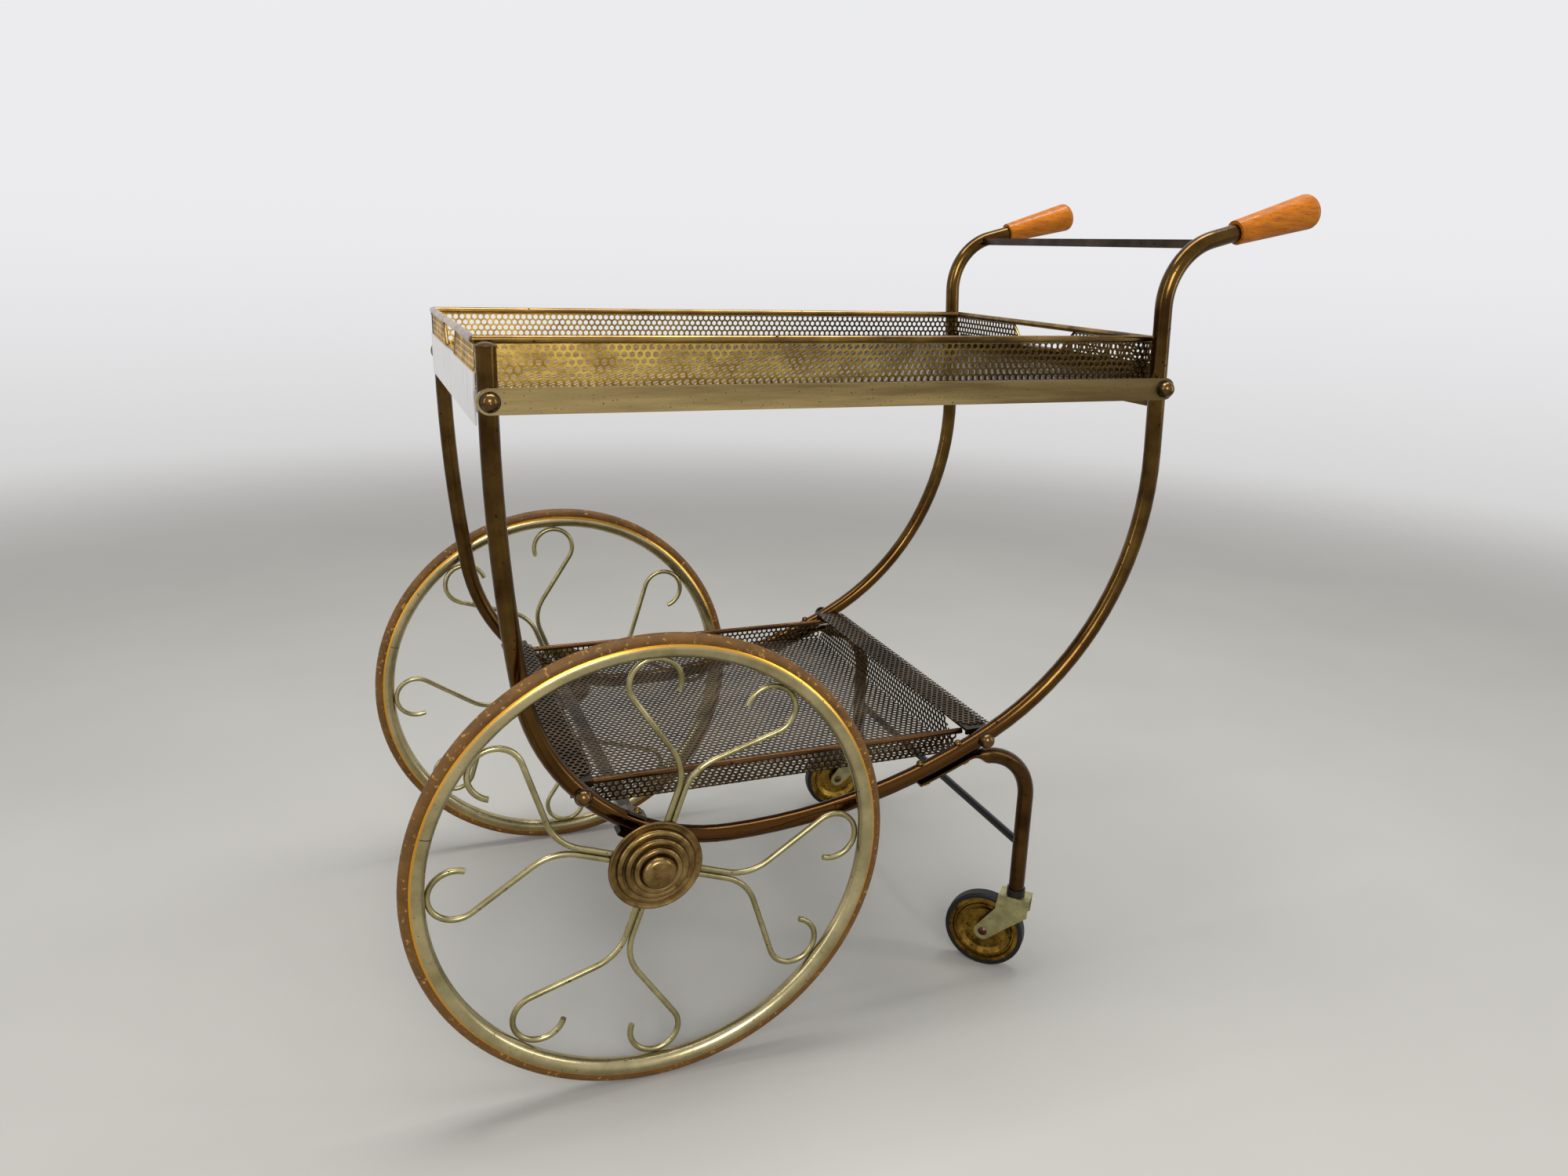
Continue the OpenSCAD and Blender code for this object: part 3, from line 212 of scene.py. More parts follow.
# %% Side tubes
SWEEP_R, FRONT_R, BELLY_R, REAR_R, HANDLE_R = 1500, 175, 520, 272, 58
SWEEP_END, AXLE_HEADING, FRONT_END, BELLY_END, BACK_HEADING, HANDLE_HEADING = 8, 67, 89, 118, 183, 105
TUBE_FROM_AXLE, POST_TOP, BACK_TOP, HANDLE_LENGTH = 17.5, 611, 642, 95
axle_point = Vector((AXLE[0], 0, AXLE[1]))
front_centre = axle_point + (TUBE_FROM_AXLE + FRONT_R) * inward(AXLE_HEADING)
sweep_centre = front_centre + (SWEEP_R - FRONT_R) * inward(SWEEP_END)
belly_centre = front_centre + (BELLY_R - FRONT_R) * inward(FRONT_END)
rear_centre = belly_centre + (REAR_R - BELLY_R) * inward(BELLY_END)
post_foot = sweep_centre - SWEEP_R * inward(0)
rear_end = rear_centre - REAR_R * inward(BACK_HEADING)
back_length = (BACK_TOP - rear_end.z) / along(BACK_HEADING).z
handle_centre = rear_end + back_length * along(BACK_HEADING) - HANDLE_R * inward(BACK_HEADING)
side_tubes = []
for side_name, y in (("left", -TRACK / 2), ("right", TRACK / 2)):
    across = Vector((0, y, 0))
    tube = start_ring(Vector((post_foot.x, y, POST_TOP)), 0, TUBE_D, TUBE_SIDES)
    push(0, POST_TOP - post_foot.z)
    swing(sweep_centre + across, SWEEP_END, 8)
    swing(front_centre + across, FRONT_END - SWEEP_END, 22)
    swing(belly_centre + across, BELLY_END - FRONT_END, 12)
    swing(rear_centre + across, BACK_HEADING - BELLY_END, 18)
    push(BACK_HEADING, back_length)
    swing(handle_centre + across, HANDLE_HEADING - BACK_HEADING, 20)
    push(HANDLE_HEADING, HANDLE_LENGTH)
    close_ends(tube)
    tube = settle(tube, "bent_tube_" + side_name)
    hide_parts("side_tube_" + side_name)
    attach(tube, "frame")
    side_tubes.append(tube)
    got = [v.co / MM for v in tube.data.vertices]
    print("reaches x", round(max(c.x for c in got), 1), "of", round(tube_high.x, 1),
          "and z", round(max(c.z for c in got), 1), "of", round(tube_high.z, 1))

# %% [markdown]
# ## Caster legs
# A leg is a tube of the same kind. Its upper end follows the side tube and is squeezed flat for the two
# bolts, and then it bends down to the caster. It is swept round all the way first. Then every section
# is squeezed as a vice would do it: the side against the side tube stays, the other comes up to it, the
# tube gets wider, and its round section turns into a flat one with round edges.

# %% Caster legs
LEG_BEND_R, TUBE_R = 49, TUBE_D / 2
FLAT_T, FLAT_W, FLAT_OVER, LEG_BOLT_PITCH, SEAT_GAP = 3.0, 16.0, 8.0, 41.0, 0.1
FLARE_FROM, FLARE_LENGTH = 5, 20
leg_low, leg_high = box_mm("caster_leg_right")
leg_x = leg_high.x - TUBE_R
leg_path_r = BELLY_R + TUBE_D + SEAT_GAP
near_turn = math.acos((belly_centre.x + LEG_BEND_R - leg_x) / (leg_path_r + LEG_BEND_R))
leg_turn = math.degrees(near_turn)
leg_centre = belly_centre - (leg_path_r + LEG_BEND_R) * inward(leg_turn)
flat_turn = math.degrees((LEG_BOLT_PITCH + FLAT_OVER) / BELLY_R)


def squeezed(across, down, share):
    """Where a point of the round section goes: its place across, and its depth below the side tube.

    across and down run from -1 to 1, and share is 0 for a round tube and 1 for the flat end."""
    half_thick = TUBE_R - (TUBE_R - FLAT_T / 2) * share
    half_wide = TUBE_R + (FLAT_W / 2 - TUBE_R) * share
    power = 1 - share / 2
    return (math.copysign(abs(across) ** power, across) * half_wide,
            (1 + math.copysign(abs(down) ** power, down)) * half_thick)


def squeeze_end(leg, y):
    """Squeezes the upper end flat, and lets it grow round again over the flare at the start of the bend."""
    for vertex in leg.data.vertices:
        place = vertex.co / MM
        across = (place.y - y) / TUBE_R
        place.y = 0
        from_leg = place - leg_centre
        turned_by = leg_turn - math.degrees(math.atan2(from_leg.z, from_leg.x))
        if turned_by < 0.01:
            centre, away, top, side = belly_centre, place - belly_centre, leg_path_r - TUBE_R, 1
            share = 1.0
        else:
            centre, away, top, side = leg_centre, from_leg, LEG_BEND_R + TUBE_R, -1
            run = math.radians(turned_by) * LEG_BEND_R
            eased = min(max((run - FLARE_FROM) / FLARE_LENGTH, 0), 1)
            share = 1 - eased * eased * (3 - 2 * eased)
        if place.z < leg_centre.z or share == 0:
            continue
        down = side * (away.length - top) / TUBE_R - 1
        new_across, depth = squeezed(across, max(min(down, 1), -1), share)
        new_place = centre + away.normalized() * (top + side * depth)
        vertex.co = Vector((new_place.x, y + new_across, new_place.z)) * MM


legs = []
for side_name, y in (("left", -TRACK / 2), ("right", TRACK / 2)):
    first_heading = leg_turn - flat_turn
    flat_start = belly_centre - leg_path_r * inward(first_heading)
    leg = start_ring(flat_start + Vector((0, y, 0)), first_heading, TUBE_D, TUBE_SIDES)
    swing(belly_centre + Vector((0, y, 0)), flat_turn, 10)
    swing(leg_centre + Vector((0, y, 0)), -leg_turn, 36)
    push(0, leg_centre.z - leg_low.z)
    close_ends(leg)
    squeeze_end(leg, y)
    leg = settle(leg, "bent_leg_" + side_name)
    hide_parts("caster_leg_" + side_name)
    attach(leg, "frame")
    legs.append(leg)
got = [v.co / MM for v in legs[1].data.vertices]
print("legs bend at heading", round(leg_turn, 2), "reach x", round(min(c.x for c in got), 2), "to",
      round(max(c.x for c in got), 2), "of", round(leg_low.x, 2), "to", round(leg_high.x, 2))

# %% [markdown]
# ## Wheel spokes
# The spokes are pairs of one bent wire each: out from the hub side by side, apart in a wide bend, and
# round in a hook whose back touches the rim. One wire is swept, mirrored to a pair, and the pair is
# copied round the wheel. The wires stand a little beside the middle of the rim, so a hook reaches
# further out than the rim's inner edge, up to where its side touches the rim's round section. The two
# wheels stand at different turns, as they stopped.

# %% Wheel spokes
WIRE_D, WIRE_SIDE = 5.0, 2.7
HUB_REACH, PAIR_END, PART_R, PART_TURN, PART_HEADING = 20.1, 66, 40, 53, 143
RIM_W, RIM_ROUND_R, HOOK_R, HOOK_TURN = 15.0, 187.5, 21, 236
BESIDE_RIM, RIM_GAP = 4.5, 0.1
wire_low, wire_high = box_mm("wheel_spokes_right")
wire = start_ring(Vector((HUB_REACH, 0, WIRE_SIDE)), 90, WIRE_D, 14)
push(90, PAIR_END - HUB_REACH)
part_centre = Vector((PAIR_END, 0, WIRE_SIDE + PART_R))
swing(part_centre, PART_TURN, 8)
hook_base = part_centre - PART_R * inward(PART_HEADING) - HOOK_R * inward(PART_HEADING)
clear_of_rim = (RIM_W + WIRE_D) / 2 + RIM_GAP
hook_reach = RIM_ROUND_R - math.sqrt(clear_of_rim ** 2 - BESIDE_RIM ** 2)
slide = hook_base.dot(along(PART_HEADING))
wire_straight = math.sqrt(slide ** 2 + (hook_reach - HOOK_R) ** 2 - hook_base.length_squared) - slide
push(PART_HEADING, wire_straight)
swing(hook_base + wire_straight * along(PART_HEADING), -HOOK_TURN, 26)
close_ends(wire)
pair = [wire, copy_of(wire)]
pair[1].scale.z = -1
one_pair = joined(pair)
select_only(one_pair)
bpy.ops.object.transform_apply(location=True, rotation=True, scale=True)
all_pairs = []
for quarter in range(4):
    turned_pair = copy_of(one_pair)
    turned_pair.rotation_euler.y = -math.radians(90 * quarter)
    all_pairs.append(turned_pair)
bpy.data.objects.remove(one_pair)
spoke_set = joined(all_pairs)
select_only(spoke_set)
bpy.ops.object.transform_apply(location=True, rotation=True, scale=True)
spokes = []
for side_name, side, wheel_turn in (("left", -1, 70.5), ("right", 1, 110)):
    one_set = copy_of(spoke_set)
    one_set.rotation_euler.y = -math.radians(wheel_turn)
    one_set.location = Vector((AXLE[0], side * (wire_low.y + wire_high.y) / 2, AXLE[1])) * MM
    one_set = settle(one_set, "hooked_spokes_" + side_name)
    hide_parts("wheel_spokes_" + side_name)
    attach(one_set, "wheel_" + side_name)
    spokes.append(one_set)
bpy.data.objects.remove(spoke_set)
print("straight part of a wire:", round(wire_straight, 1), "mm")

# %% [markdown]
# ## Perforated sheet
# Tray and shelf are folded from brass sheet with round holes in staggered rows. A texture of dots would
# not let light through or show the sheet's edge, so the holes are real. One hexagonal cell with a hole
# is modelled, a second is set beside and above it, and arrays lay out the field. The field is then cut
# to size, as a shop cuts it from a larger sheet, so holes are cut at its edges too. Six corners are
# enough for a hole this small: its corners stand 6 % outside the round hole, its flats inside it.

# %% Helper for perforated sheet
ROW = HOLE_PITCH * math.sqrt(3) / 2
HOLE_CORNER_R = HOLE_D / 2 * 1.06


def perforated_sheet(length, width):
    """A flat sheet in the floor's plane, its middle at the origin."""
    bpy.ops.object.select_all(action="DESELECT")
    bpy.ops.mesh.primitive_circle_add(vertices=6, radius=HOLE_CORNER_R * MM)
    sheet = bpy.context.object
    bpy.ops.object.mode_set(mode="EDIT")
    bpy.ops.mesh.select_all(action="SELECT")
    bpy.ops.mesh.extrude_edges_move()
    grow = HOLE_PITCH / math.sqrt(3) / HOLE_CORNER_R
    bpy.ops.transform.resize(value=(grow, grow, 1))
    bpy.ops.mesh.select_all(action="SELECT")
    bpy.ops.mesh.duplicate_move(TRANSFORM_OT_translate={"value": (HOLE_PITCH / 2 * MM, ROW * MM, 0)})
    bpy.ops.object.mode_set(mode="OBJECT")
    columns = math.ceil(length / HOLE_PITCH) + 2
    rows = math.ceil(width / ROW / 2) + 1
    apply_modifier(sheet, "ARRAY", count=columns, use_relative_offset=False, use_constant_offset=True,
                   constant_offset_displace=(HOLE_PITCH * MM, 0, 0))
    apply_modifier(sheet, "ARRAY", count=rows, use_relative_offset=False, use_constant_offset=True,
                   constant_offset_displace=(0, 2 * ROW * MM, 0))
    sheet.location = (-(columns - 0.5) / 2 * HOLE_PITCH * MM, -(2 * rows - 1) / 2 * ROW * MM, 0)
    select_only(sheet)
    bpy.ops.object.transform_apply(location=True, rotation=True, scale=True)
    bpy.ops.object.mode_set(mode="EDIT")
    bpy.ops.mesh.select_all(action="SELECT")
    bpy.ops.mesh.remove_doubles(threshold=0.00005)
    for x, y, reach in ((1, 0, length), (-1, 0, length), (0, 1, width), (0, -1, width)):
        bpy.ops.mesh.select_all(action="SELECT")
        edge = Vector((x, y, 0)) * reach / 2 * MM
        bpy.ops.mesh.bisect(plane_co=edge, plane_no=(x, y, 0), clear_outer=True)
    bpy.ops.object.mode_set(mode="OBJECT")
    apply_modifier(sheet, "SOLIDIFY", thickness=SHEET_T * MM, offset=0)
    return sheet


def lay(sheet, at, stand=None):
    """Places a sheet. stand is 'side' for a wall along the trolley and 'end' for a wall across it."""
    if stand == "side":
        sheet.rotation_euler = (math.radians(90), 0, 0)
    if stand == "end":
        sheet.rotation_euler = (math.radians(90), 0, math.radians(90))
    sheet.location = Vector(at) * MM
    select_only(sheet)
    bpy.ops.object.transform_apply(location=True, rotation=True, scale=True)
    return sheet


def finish_sheet(sheet, name, node, body):
    settle(sheet, name, 30)
    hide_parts(node)
    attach(sheet, body)
    return sheet


# %% [markdown]
# ## Upper tray
# A floor and four low walls. The floor is made in two halves, so that neither is too heavy a mesh.

# %% Upper tray
tray_low, tray_high = box_mm("upper_tray")
TRAY_MID, TRAY_LEN = (tray_low.x + tray_high.x) / 2, tray_high.x - tray_low.x - SHEET_T
TRAY_HALF_Y = tray_high.y - SHEET_T / 2
TRAY_Z, WALL_TOP = tray_low.z, tray_high.z
tray_sheets = []
for part_name, x in (("front", TRAY_MID - TRAY_LEN / 4), ("rear", TRAY_MID + TRAY_LEN / 4)):
    half = lay(perforated_sheet(TRAY_LEN / 2, 2 * TRAY_HALF_Y), (x, 0, TRAY_Z + SHEET_T / 2))
    name = "tray_floor_" + part_name
    tray_sheets.append(finish_sheet(half, name, "upper_tray", "upper_tray"))

wall_h = WALL_TOP - TRAY_Z
wall_z = (WALL_TOP + TRAY_Z) / 2
long_walls = []
for side in (-1, 1):
    wall = perforated_sheet(TRAY_LEN + SHEET_T, wall_h)
    long_walls.append(lay(wall, (TRAY_MID, side * TRAY_HALF_Y, wall_z), "side"))
long_pair = joined(long_walls)
tray_sheets.append(finish_sheet(long_pair, "tray_long_walls", "upper_tray", "upper_tray"))

# %% [markdown]
# ## Hand-holes
# Each end wall has a hand-hole that is open at the top: 110 mm wide there, 68 mm wide at the bottom and
# 20 mm high. It is a prism taken out of the wall with a boolean. The prism is higher than the hole, so
# that it cuts through the wall's top edge.

# %% Hand-holes
HAND_LOW_Z, HAND_HALF_LOW, HAND_HALF_TOP, HAND_H = 592.6, 34, 55, 20
CUT_H, CUT_DEPTH, CUT_CORNER = 24, 20, 4.5
CUT_HALF_TOP = HAND_HALF_LOW + (HAND_HALF_TOP - HAND_HALF_LOW) * CUT_H / HAND_H


def handhole_cutter(x):
    """A prism with the hand-hole's outline, for the end wall at x."""
    middle_z = HAND_LOW_Z + CUT_H / 2
    bpy.ops.object.select_all(action="DESELECT")
    bpy.ops.mesh.primitive_cube_add(size=1, location=(x * MM, 0, middle_z * MM))
    cutter = bpy.context.object
    cutter.scale = (CUT_DEPTH * MM, 1 * MM, CUT_H * MM)
    bpy.ops.object.transform_apply(location=True, rotation=True, scale=True)
    for vertex in cutter.data.vertices:
        half_width = CUT_HALF_TOP if vertex.co.z > middle_z * MM else HAND_HALF_LOW
        vertex.co.y = math.copysign(half_width * MM, vertex.co.y)
    bpy.ops.object.mode_set(mode="EDIT")
    bpy.ops.mesh.select_all(action="DESELECT")
    bpy.ops.object.mode_set(mode="OBJECT")
    for edge in cutter.data.edges:
        ends = [cutter.data.vertices[i].co for i in edge.vertices]
        low = all(end.z < middle_z * MM for end in ends)
        edge.select = low and abs(ends[0].x - ends[1].x) > CUT_DEPTH / 2 * MM
    bpy.ops.object.mode_set(mode="EDIT")
    bpy.ops.mesh.bevel(offset=CUT_CORNER * MM, segments=5, affect="EDGES")
    bpy.ops.mesh.select_all(action="SELECT")
    bpy.ops.mesh.normals_make_consistent(inside=False)
    bpy.ops.object.mode_set(mode="OBJECT")
    return cutter


end_walls = []
for x in (TRAY_MID - TRAY_LEN / 2, TRAY_MID + TRAY_LEN / 2):
    wall = lay(perforated_sheet(2 * TRAY_HALF_Y - SHEET_T, wall_h), (x, 0, wall_z), "end")
    cutter = handhole_cutter(x)
    apply_modifier(wall, "BOOLEAN", operation="DIFFERENCE", object=cutter, solver="EXACT")
    bpy.data.objects.remove(cutter)
    end_walls.append(wall)
end_pair = joined(end_walls)
tray_sheets.append(finish_sheet(end_pair, "tray_end_walls", "upper_tray", "upper_tray"))

# %% [markdown]
# ## Lower shelf
# The shelf is a shallower tray of the same sheet. Its end walls lean in a little at the corners and
# turn outwards at the top into level flanges that rest on the bars.

# %% Lower shelf
FLANGE_W, SHELF_HALF_Y, FOLD_HALF_Y, FLANGE_HALF_Y = 31.0, 167.0, 160, 171
SIDE_H, LEAN_IN, LEAN_H = 17.45, 7, 27
shelf_low, shelf_high = box_mm("lower_shelf")
FOLD_FRONT, FOLD_REAR = shelf_low.x + FLANGE_W, shelf_high.x - FLANGE_W
SHELF_FLOOR, BAR_TOP = shelf_low.z, shelf_high.z - SHEET_T
shelf_mid = (FOLD_FRONT + FOLD_REAR) / 2
shelf_len = FOLD_REAR - FOLD_FRONT
shelf_sheets = []
floor = lay(perforated_sheet(shelf_len, 2 * SHELF_HALF_Y), (shelf_mid, 0, SHELF_FLOOR + SHEET_T / 2))
shelf_sheets.append(finish_sheet(floor, "shelf_floor", "lower_shelf", "frame"))


def cut_corner(sheet, point, normal):
    """Cuts off what lies beyond a line, like a pair of shears."""
    select_only(sheet)
    bpy.ops.object.mode_set(mode="EDIT")
    bpy.ops.mesh.select_all(action="SELECT")
    bpy.ops.mesh.bisect(plane_co=Vector(point) * MM, plane_no=normal, clear_outer=True, use_fill=True)
    bpy.ops.object.mode_set(mode="OBJECT")


walls = []
for side in (-1, 1):
    wall = perforated_sheet(shelf_len, SIDE_H)
    wall_at = (shelf_mid, side * (SHELF_HALF_Y - SHEET_T / 2), SHELF_FLOOR + SIDE_H / 2)
    walls.append(lay(wall, wall_at, "side"))
for end, fold in ((-1, FOLD_FRONT), (1, FOLD_REAR)):
    height = BAR_TOP + SHEET_T - SHELF_FLOOR
    wall = perforated_sheet(2 * SHELF_HALF_Y, height)
    wall = lay(wall, (fold + end * SHEET_T / 2, 0, SHELF_FLOOR + height / 2), "end")
    for side in (-1, 1):
        cut_corner(wall, (fold, side * SHELF_HALF_Y, SHELF_FLOOR + SHEET_T), (0, side * LEAN_H, LEAN_IN))
    walls.append(wall)
shelf_sheets.append(finish_sheet(joined(walls), "shelf_walls", "lower_shelf", "frame"))

flanges = []
for end, fold in ((-1, FOLD_FRONT), (1, FOLD_REAR)):
    flange = perforated_sheet(FLANGE_W, 2 * FLANGE_HALF_Y)
    flange = lay(flange, (fold + end * FLANGE_W / 2, 0, BAR_TOP + SHEET_T / 2))
    for side in (-1, 1):
        slope = (end * (FOLD_HALF_Y - FLANGE_HALF_Y), side * FLANGE_W, 0)
        cut_corner(flange, (fold, side * FOLD_HALF_Y, BAR_TOP), slope)
    flanges.append(flange)
shelf_sheets.append(finish_sheet(joined(flanges), "shelf_flanges", "lower_shelf", "frame"))

# %% [markdown]
# ## Edging of the hand-holes
# The cut edge of each hand-hole is covered by a narrow folded strip, so that it doesn't cut the fingers.
# It is swept like the tubes, in side view, and then turned to lie across the trolley.

# %% Hand-hole edging
EDGE_D, EDGE_BEND_R = 3.0, 7
hand_slope = HAND_HALF_TOP - HAND_HALF_LOW
slant = math.degrees(math.atan2(HAND_H, hand_slope))
tangent = EDGE_BEND_R * math.tan(math.radians(slant / 2))
slanted_length = math.hypot(HAND_H, hand_slope) - tangent
edgings = []
for x in (TRAY_MID - TRAY_LEN / 2, TRAY_MID + TRAY_LEN / 2):
    strip = start_ring(Vector((-HAND_HALF_TOP, 0, HAND_LOW_Z + HAND_H)), 90 - slant, EDGE_D, 10)
    push(90 - slant, slanted_length)
    swing(Vector((-HAND_HALF_LOW + tangent, 0, HAND_LOW_Z + EDGE_BEND_R)), slant, 5)
    push(90, 2 * (HAND_HALF_LOW - tangent))
    swing(Vector((HAND_HALF_LOW - tangent, 0, HAND_LOW_Z + EDGE_BEND_R)), slant, 5)
    push(90 + slant, slanted_length)
    close_ends(strip)
    strip.rotation_euler.z = math.radians(90)
    strip.location.x = x * MM
    edgings.append(strip)
edging = settle(joined(edgings), "handhole_edging")
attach(edging, "upper_tray")

# %% [markdown]
# ## Hub caps
# A hub cap is pressed from thin sheet, so its rings are soft beads with grooves between them, and its
# middle is a round boss with a flat top. A lathe gives the same shape: one ring of edges is drawn on
# from the back edge to the middle, and changes its radius and height at each step. The rolled edge has
# a bead 1.3 mm wide to each side. Each ring is steep outside, and falls off by 1.3 mm to its groove.

# %% Hub caps
CAP_R, BOSS_R, CAP_H, STEPS = 39.4, 14.5, 17.0, 3
BEAD_R, BEAD_TOP, BOSS_RISE, GROOVE_DROP = 1.3, 1.5, 5.5, 1.3
step_w = (CAP_R - BOSS_R) / (STEPS + 1)
step_h = (CAP_H - BOSS_RISE - BEAD_TOP) / STEPS
ring_r = 0.44 * step_w


def arc_of_bead(middle, half_width, low, high, first, last, parts):
    """Points (radius, height) on a bead's rounded top, from angle first to angle last."""
    angles = [math.radians(first + (last - first) * i / parts) for i in range(parts + 1)]
    return [(middle + half_width * math.cos(a), low + (high - low) * math.sin(a)) for a in angles]


profile = [(CAP_R - 1.2, 0.0), (CAP_R, 0.3)]
profile += arc_of_bead(CAP_R - BEAD_R, BEAD_R, 0.4, BEAD_TOP, 30, 150, 4)
for number in range(1, STEPS + 1):
    top = BEAD_TOP + number * step_h
    middle = CAP_R - number * step_w - ring_r
    profile += arc_of_bead(middle, ring_r, top - step_h - 0.5, top, 0, 90, 5)
    profile += arc_of_bead(middle, ring_r, top - GROOVE_DROP, top, 105, 150, 3)
profile += arc_of_bead(BOSS_R - 4.8, 4.8, CAP_H - 6.6, CAP_H, 0, 80, 6)
profile += [(9.0, CAP_H - 0.25), (5.0, CAP_H - 0.4), (0.6, CAP_H - 0.45)]


def turned(rings, sides):
    """A closed round piece, from (radius, height) pairs in millimetres."""
    bpy.ops.object.select_all(action="DESELECT")
    bpy.ops.mesh.primitive_circle_add(vertices=sides, radius=rings[0][0] * MM)
    bpy.ops.object.mode_set(mode="EDIT")
    bpy.ops.mesh.select_all(action="SELECT")
    for (radius, height), (next_radius, next_height) in zip(rings, rings[1:]):
        rise = (next_height - height) * MM
        bpy.ops.mesh.extrude_edges_move(TRANSFORM_OT_translate={"value": (0, 0, rise)})
        bpy.ops.transform.resize(value=(next_radius / radius, next_radius / radius, 1))
    close_ends(bpy.context.object)
    return bpy.context.object


cap_back_y = box_mm("hub_cap_right")[0].y
hub_caps = []
for side_name, side in (("left", -1), ("right", 1)):
    cap = turned(profile, 96)
    cap.rotation_euler.x = -side * math.radians(90)
    cap.location = Vector((AXLE[0], side * cap_back_y, AXLE[1])) * MM
    cap = settle(cap, "ringed_hub_cap_" + side_name, 50)
    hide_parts("hub_cap_" + side_name)
    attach(cap, "wheel_" + side_name)
    hub_caps.append(cap)

# %% [markdown]
# ## Colours and nodes
# Colours are written as they look on a screen and turned into the linear values that a renderer
# works with. One small function adds a shader node, sets it up and links it. Another lays a colour over
# a finish where a mask is white, as a spot, a scratch or a stain lies on it.

# %% Helpers for finishes


def linear(hex_colour):
    channels = [int(hex_colour[i:i + 2], 16) / 255 for i in (1, 3, 5)]
    return [c / 12.92 if c <= 0.04045 else ((c + 0.055) / 1.055) ** 2.4 for c in channels] + [1.0]


def add_node(material, kind, inputs=None, **settings):
    """Adds a node. inputs maps a socket's name or number to a value, or to another node's output."""
    made = material.node_tree.nodes.new(kind)
    for key, value in settings.items():
        setattr(made, key, value)
    for socket, value in (inputs or {}).items():
        if isinstance(value, bpy.types.NodeSocket):
            material.node_tree.links.new(value, made.inputs[socket])
        else:
            made.inputs[socket].default_value = value
    return made


def new_material(name):
    material = bpy.data.materials.new(name)
    material.use_nodes = True
    shader = material.node_tree.nodes["Principled BSDF"]
    place = add_node(material, "ShaderNodeTexCoord").outputs["Object"]
    return material, shader, place


def lay_over(material, mask, hex_colour):
    """Lays a colour over the finish where the mask is 1."""
    target = material.node_tree.nodes["Principled BSDF"].inputs["Base Color"]
    under = target.links[0].from_socket
    mixed = add_node(material, "ShaderNodeMix", {0: mask, 6: under, 7: linear(hex_colour)}, data_type="RGBA")
    material.node_tree.links.new(mixed.outputs[2], target)


def dress(piece, material):
    piece.data.materials.clear()
    piece.data.materials.append(material)


# %% [markdown]
# ## Old brass
# Brass browns with age under a thin lacquer: the colour goes from gold to bronze in soft patches a few
# centimetres wide, and small dark spots form where the lacquer has pinholes. A finish may also fade to
# another colour along the trolley or towards the floor. Drawing and polishing leave fine lines, about
# 0.7 mm apart here so that they show, which soften the gloss. The same layers, with other colours and
# sizes, serve every brass piece.

# %% Old brass


def old_brass(name, bright, brown, roughness, patch_mm, spots, stretch=(1, 1, 1), fade=None):
    """spots is (colour, size in mm, share). fade is (axis, from mm, to mm, colour there)."""
    material, shader, place = new_material(name)
    links = material.node_tree.links
    drawn = add_node(material, "ShaderNodeMapping", {"Vector": place, "Scale": stretch}).outputs[0]
    patches = add_node(material, "ShaderNodeTexNoise",
                       {"Vector": drawn, "Scale": 1000 / patch_mm, "Detail": 5, "Roughness": 0.62})
    patch = add_node(material, "ShaderNodeMapRange", {0: patches.outputs[0], 1: 0.35, 2: 0.65})
    base = add_node(material, "ShaderNodeMix", {0: patch.outputs[0], 6: linear(bright), 7: linear(brown)},
                    data_type="RGBA")
    links.new(base.outputs[2], shader.inputs["Base Color"])
    if fade:
        axis, start, end, far_colour = fade
        parts = add_node(material, "ShaderNodeSeparateXYZ", {0: place})
        share = add_node(material, "ShaderNodeMapRange", {0: parts.outputs[axis], 1: start * MM, 2: end * MM})
        lay_over(material, share.outputs[0], far_colour)
    spot_colour, spot_mm, spot_share = spots
    specks = add_node(material, "ShaderNodeTexNoise",
                      {"Vector": place, "Scale": 1000 / spot_mm, "Detail": 2, "Roughness": 0.5})
    edge = 0.72 - 0.3 * spot_share
    spot = add_node(material, "ShaderNodeMapRange", {0: specks.outputs[0], 1: edge, 2: edge + 0.08})
    lay_over(material, spot.outputs[0], spot_colour)
    gloss = add_node(material, "ShaderNodeMapRange",
                     {0: patches.outputs[0], 1: 0.3, 2: 0.7, 3: roughness * 0.85, 4: roughness * 1.2})
    dull = add_node(material, "ShaderNodeMix", {0: spot.outputs[0], 2: gloss.outputs[0], 3: 0.65})
    links.new(dull.outputs[0], shader.inputs["Roughness"])
    lines = add_node(material, "ShaderNodeTexNoise", {"Vector": drawn, "Scale": 1400, "Detail": 2})
    bump = add_node(material, "ShaderNodeBump",
                    {"Strength": 0.03, "Distance": 0.0002, "Height": lines.outputs[0]})
    links.new(bump.outputs[0], shader.inputs["Normal"])
    shader.inputs["Metallic"].default_value = 1.0
    return material


dark_spots = ("#1e140a", 4, 0.15)
fine_spots = ("#33240f", 2.5, 0.25)
# Brass tube, drawn, bent and lacquered. Age has made it bronze: dark brown with thin golden lights.
tube_brass = old_brass("browned brass tube", "#5e4722", "#382610", 0.17, 45, dark_spots,
                       fade=(2, 420, 200, "#4c3218"))
leg_brass = old_brass("browned brass leg", "#523a1c", "#32220e", 0.19, 35, dark_spots)
# Rolled brass strip, brushed lengthwise: a satin dull gold, browner towards the handles.
rail_brass = old_brass("satin brass rail", "#b09a68", "#746240", 0.30, 14, fine_spots, (0.06, 1, 1),
                       fade=(0, 0, 330, "#4c3c20"))
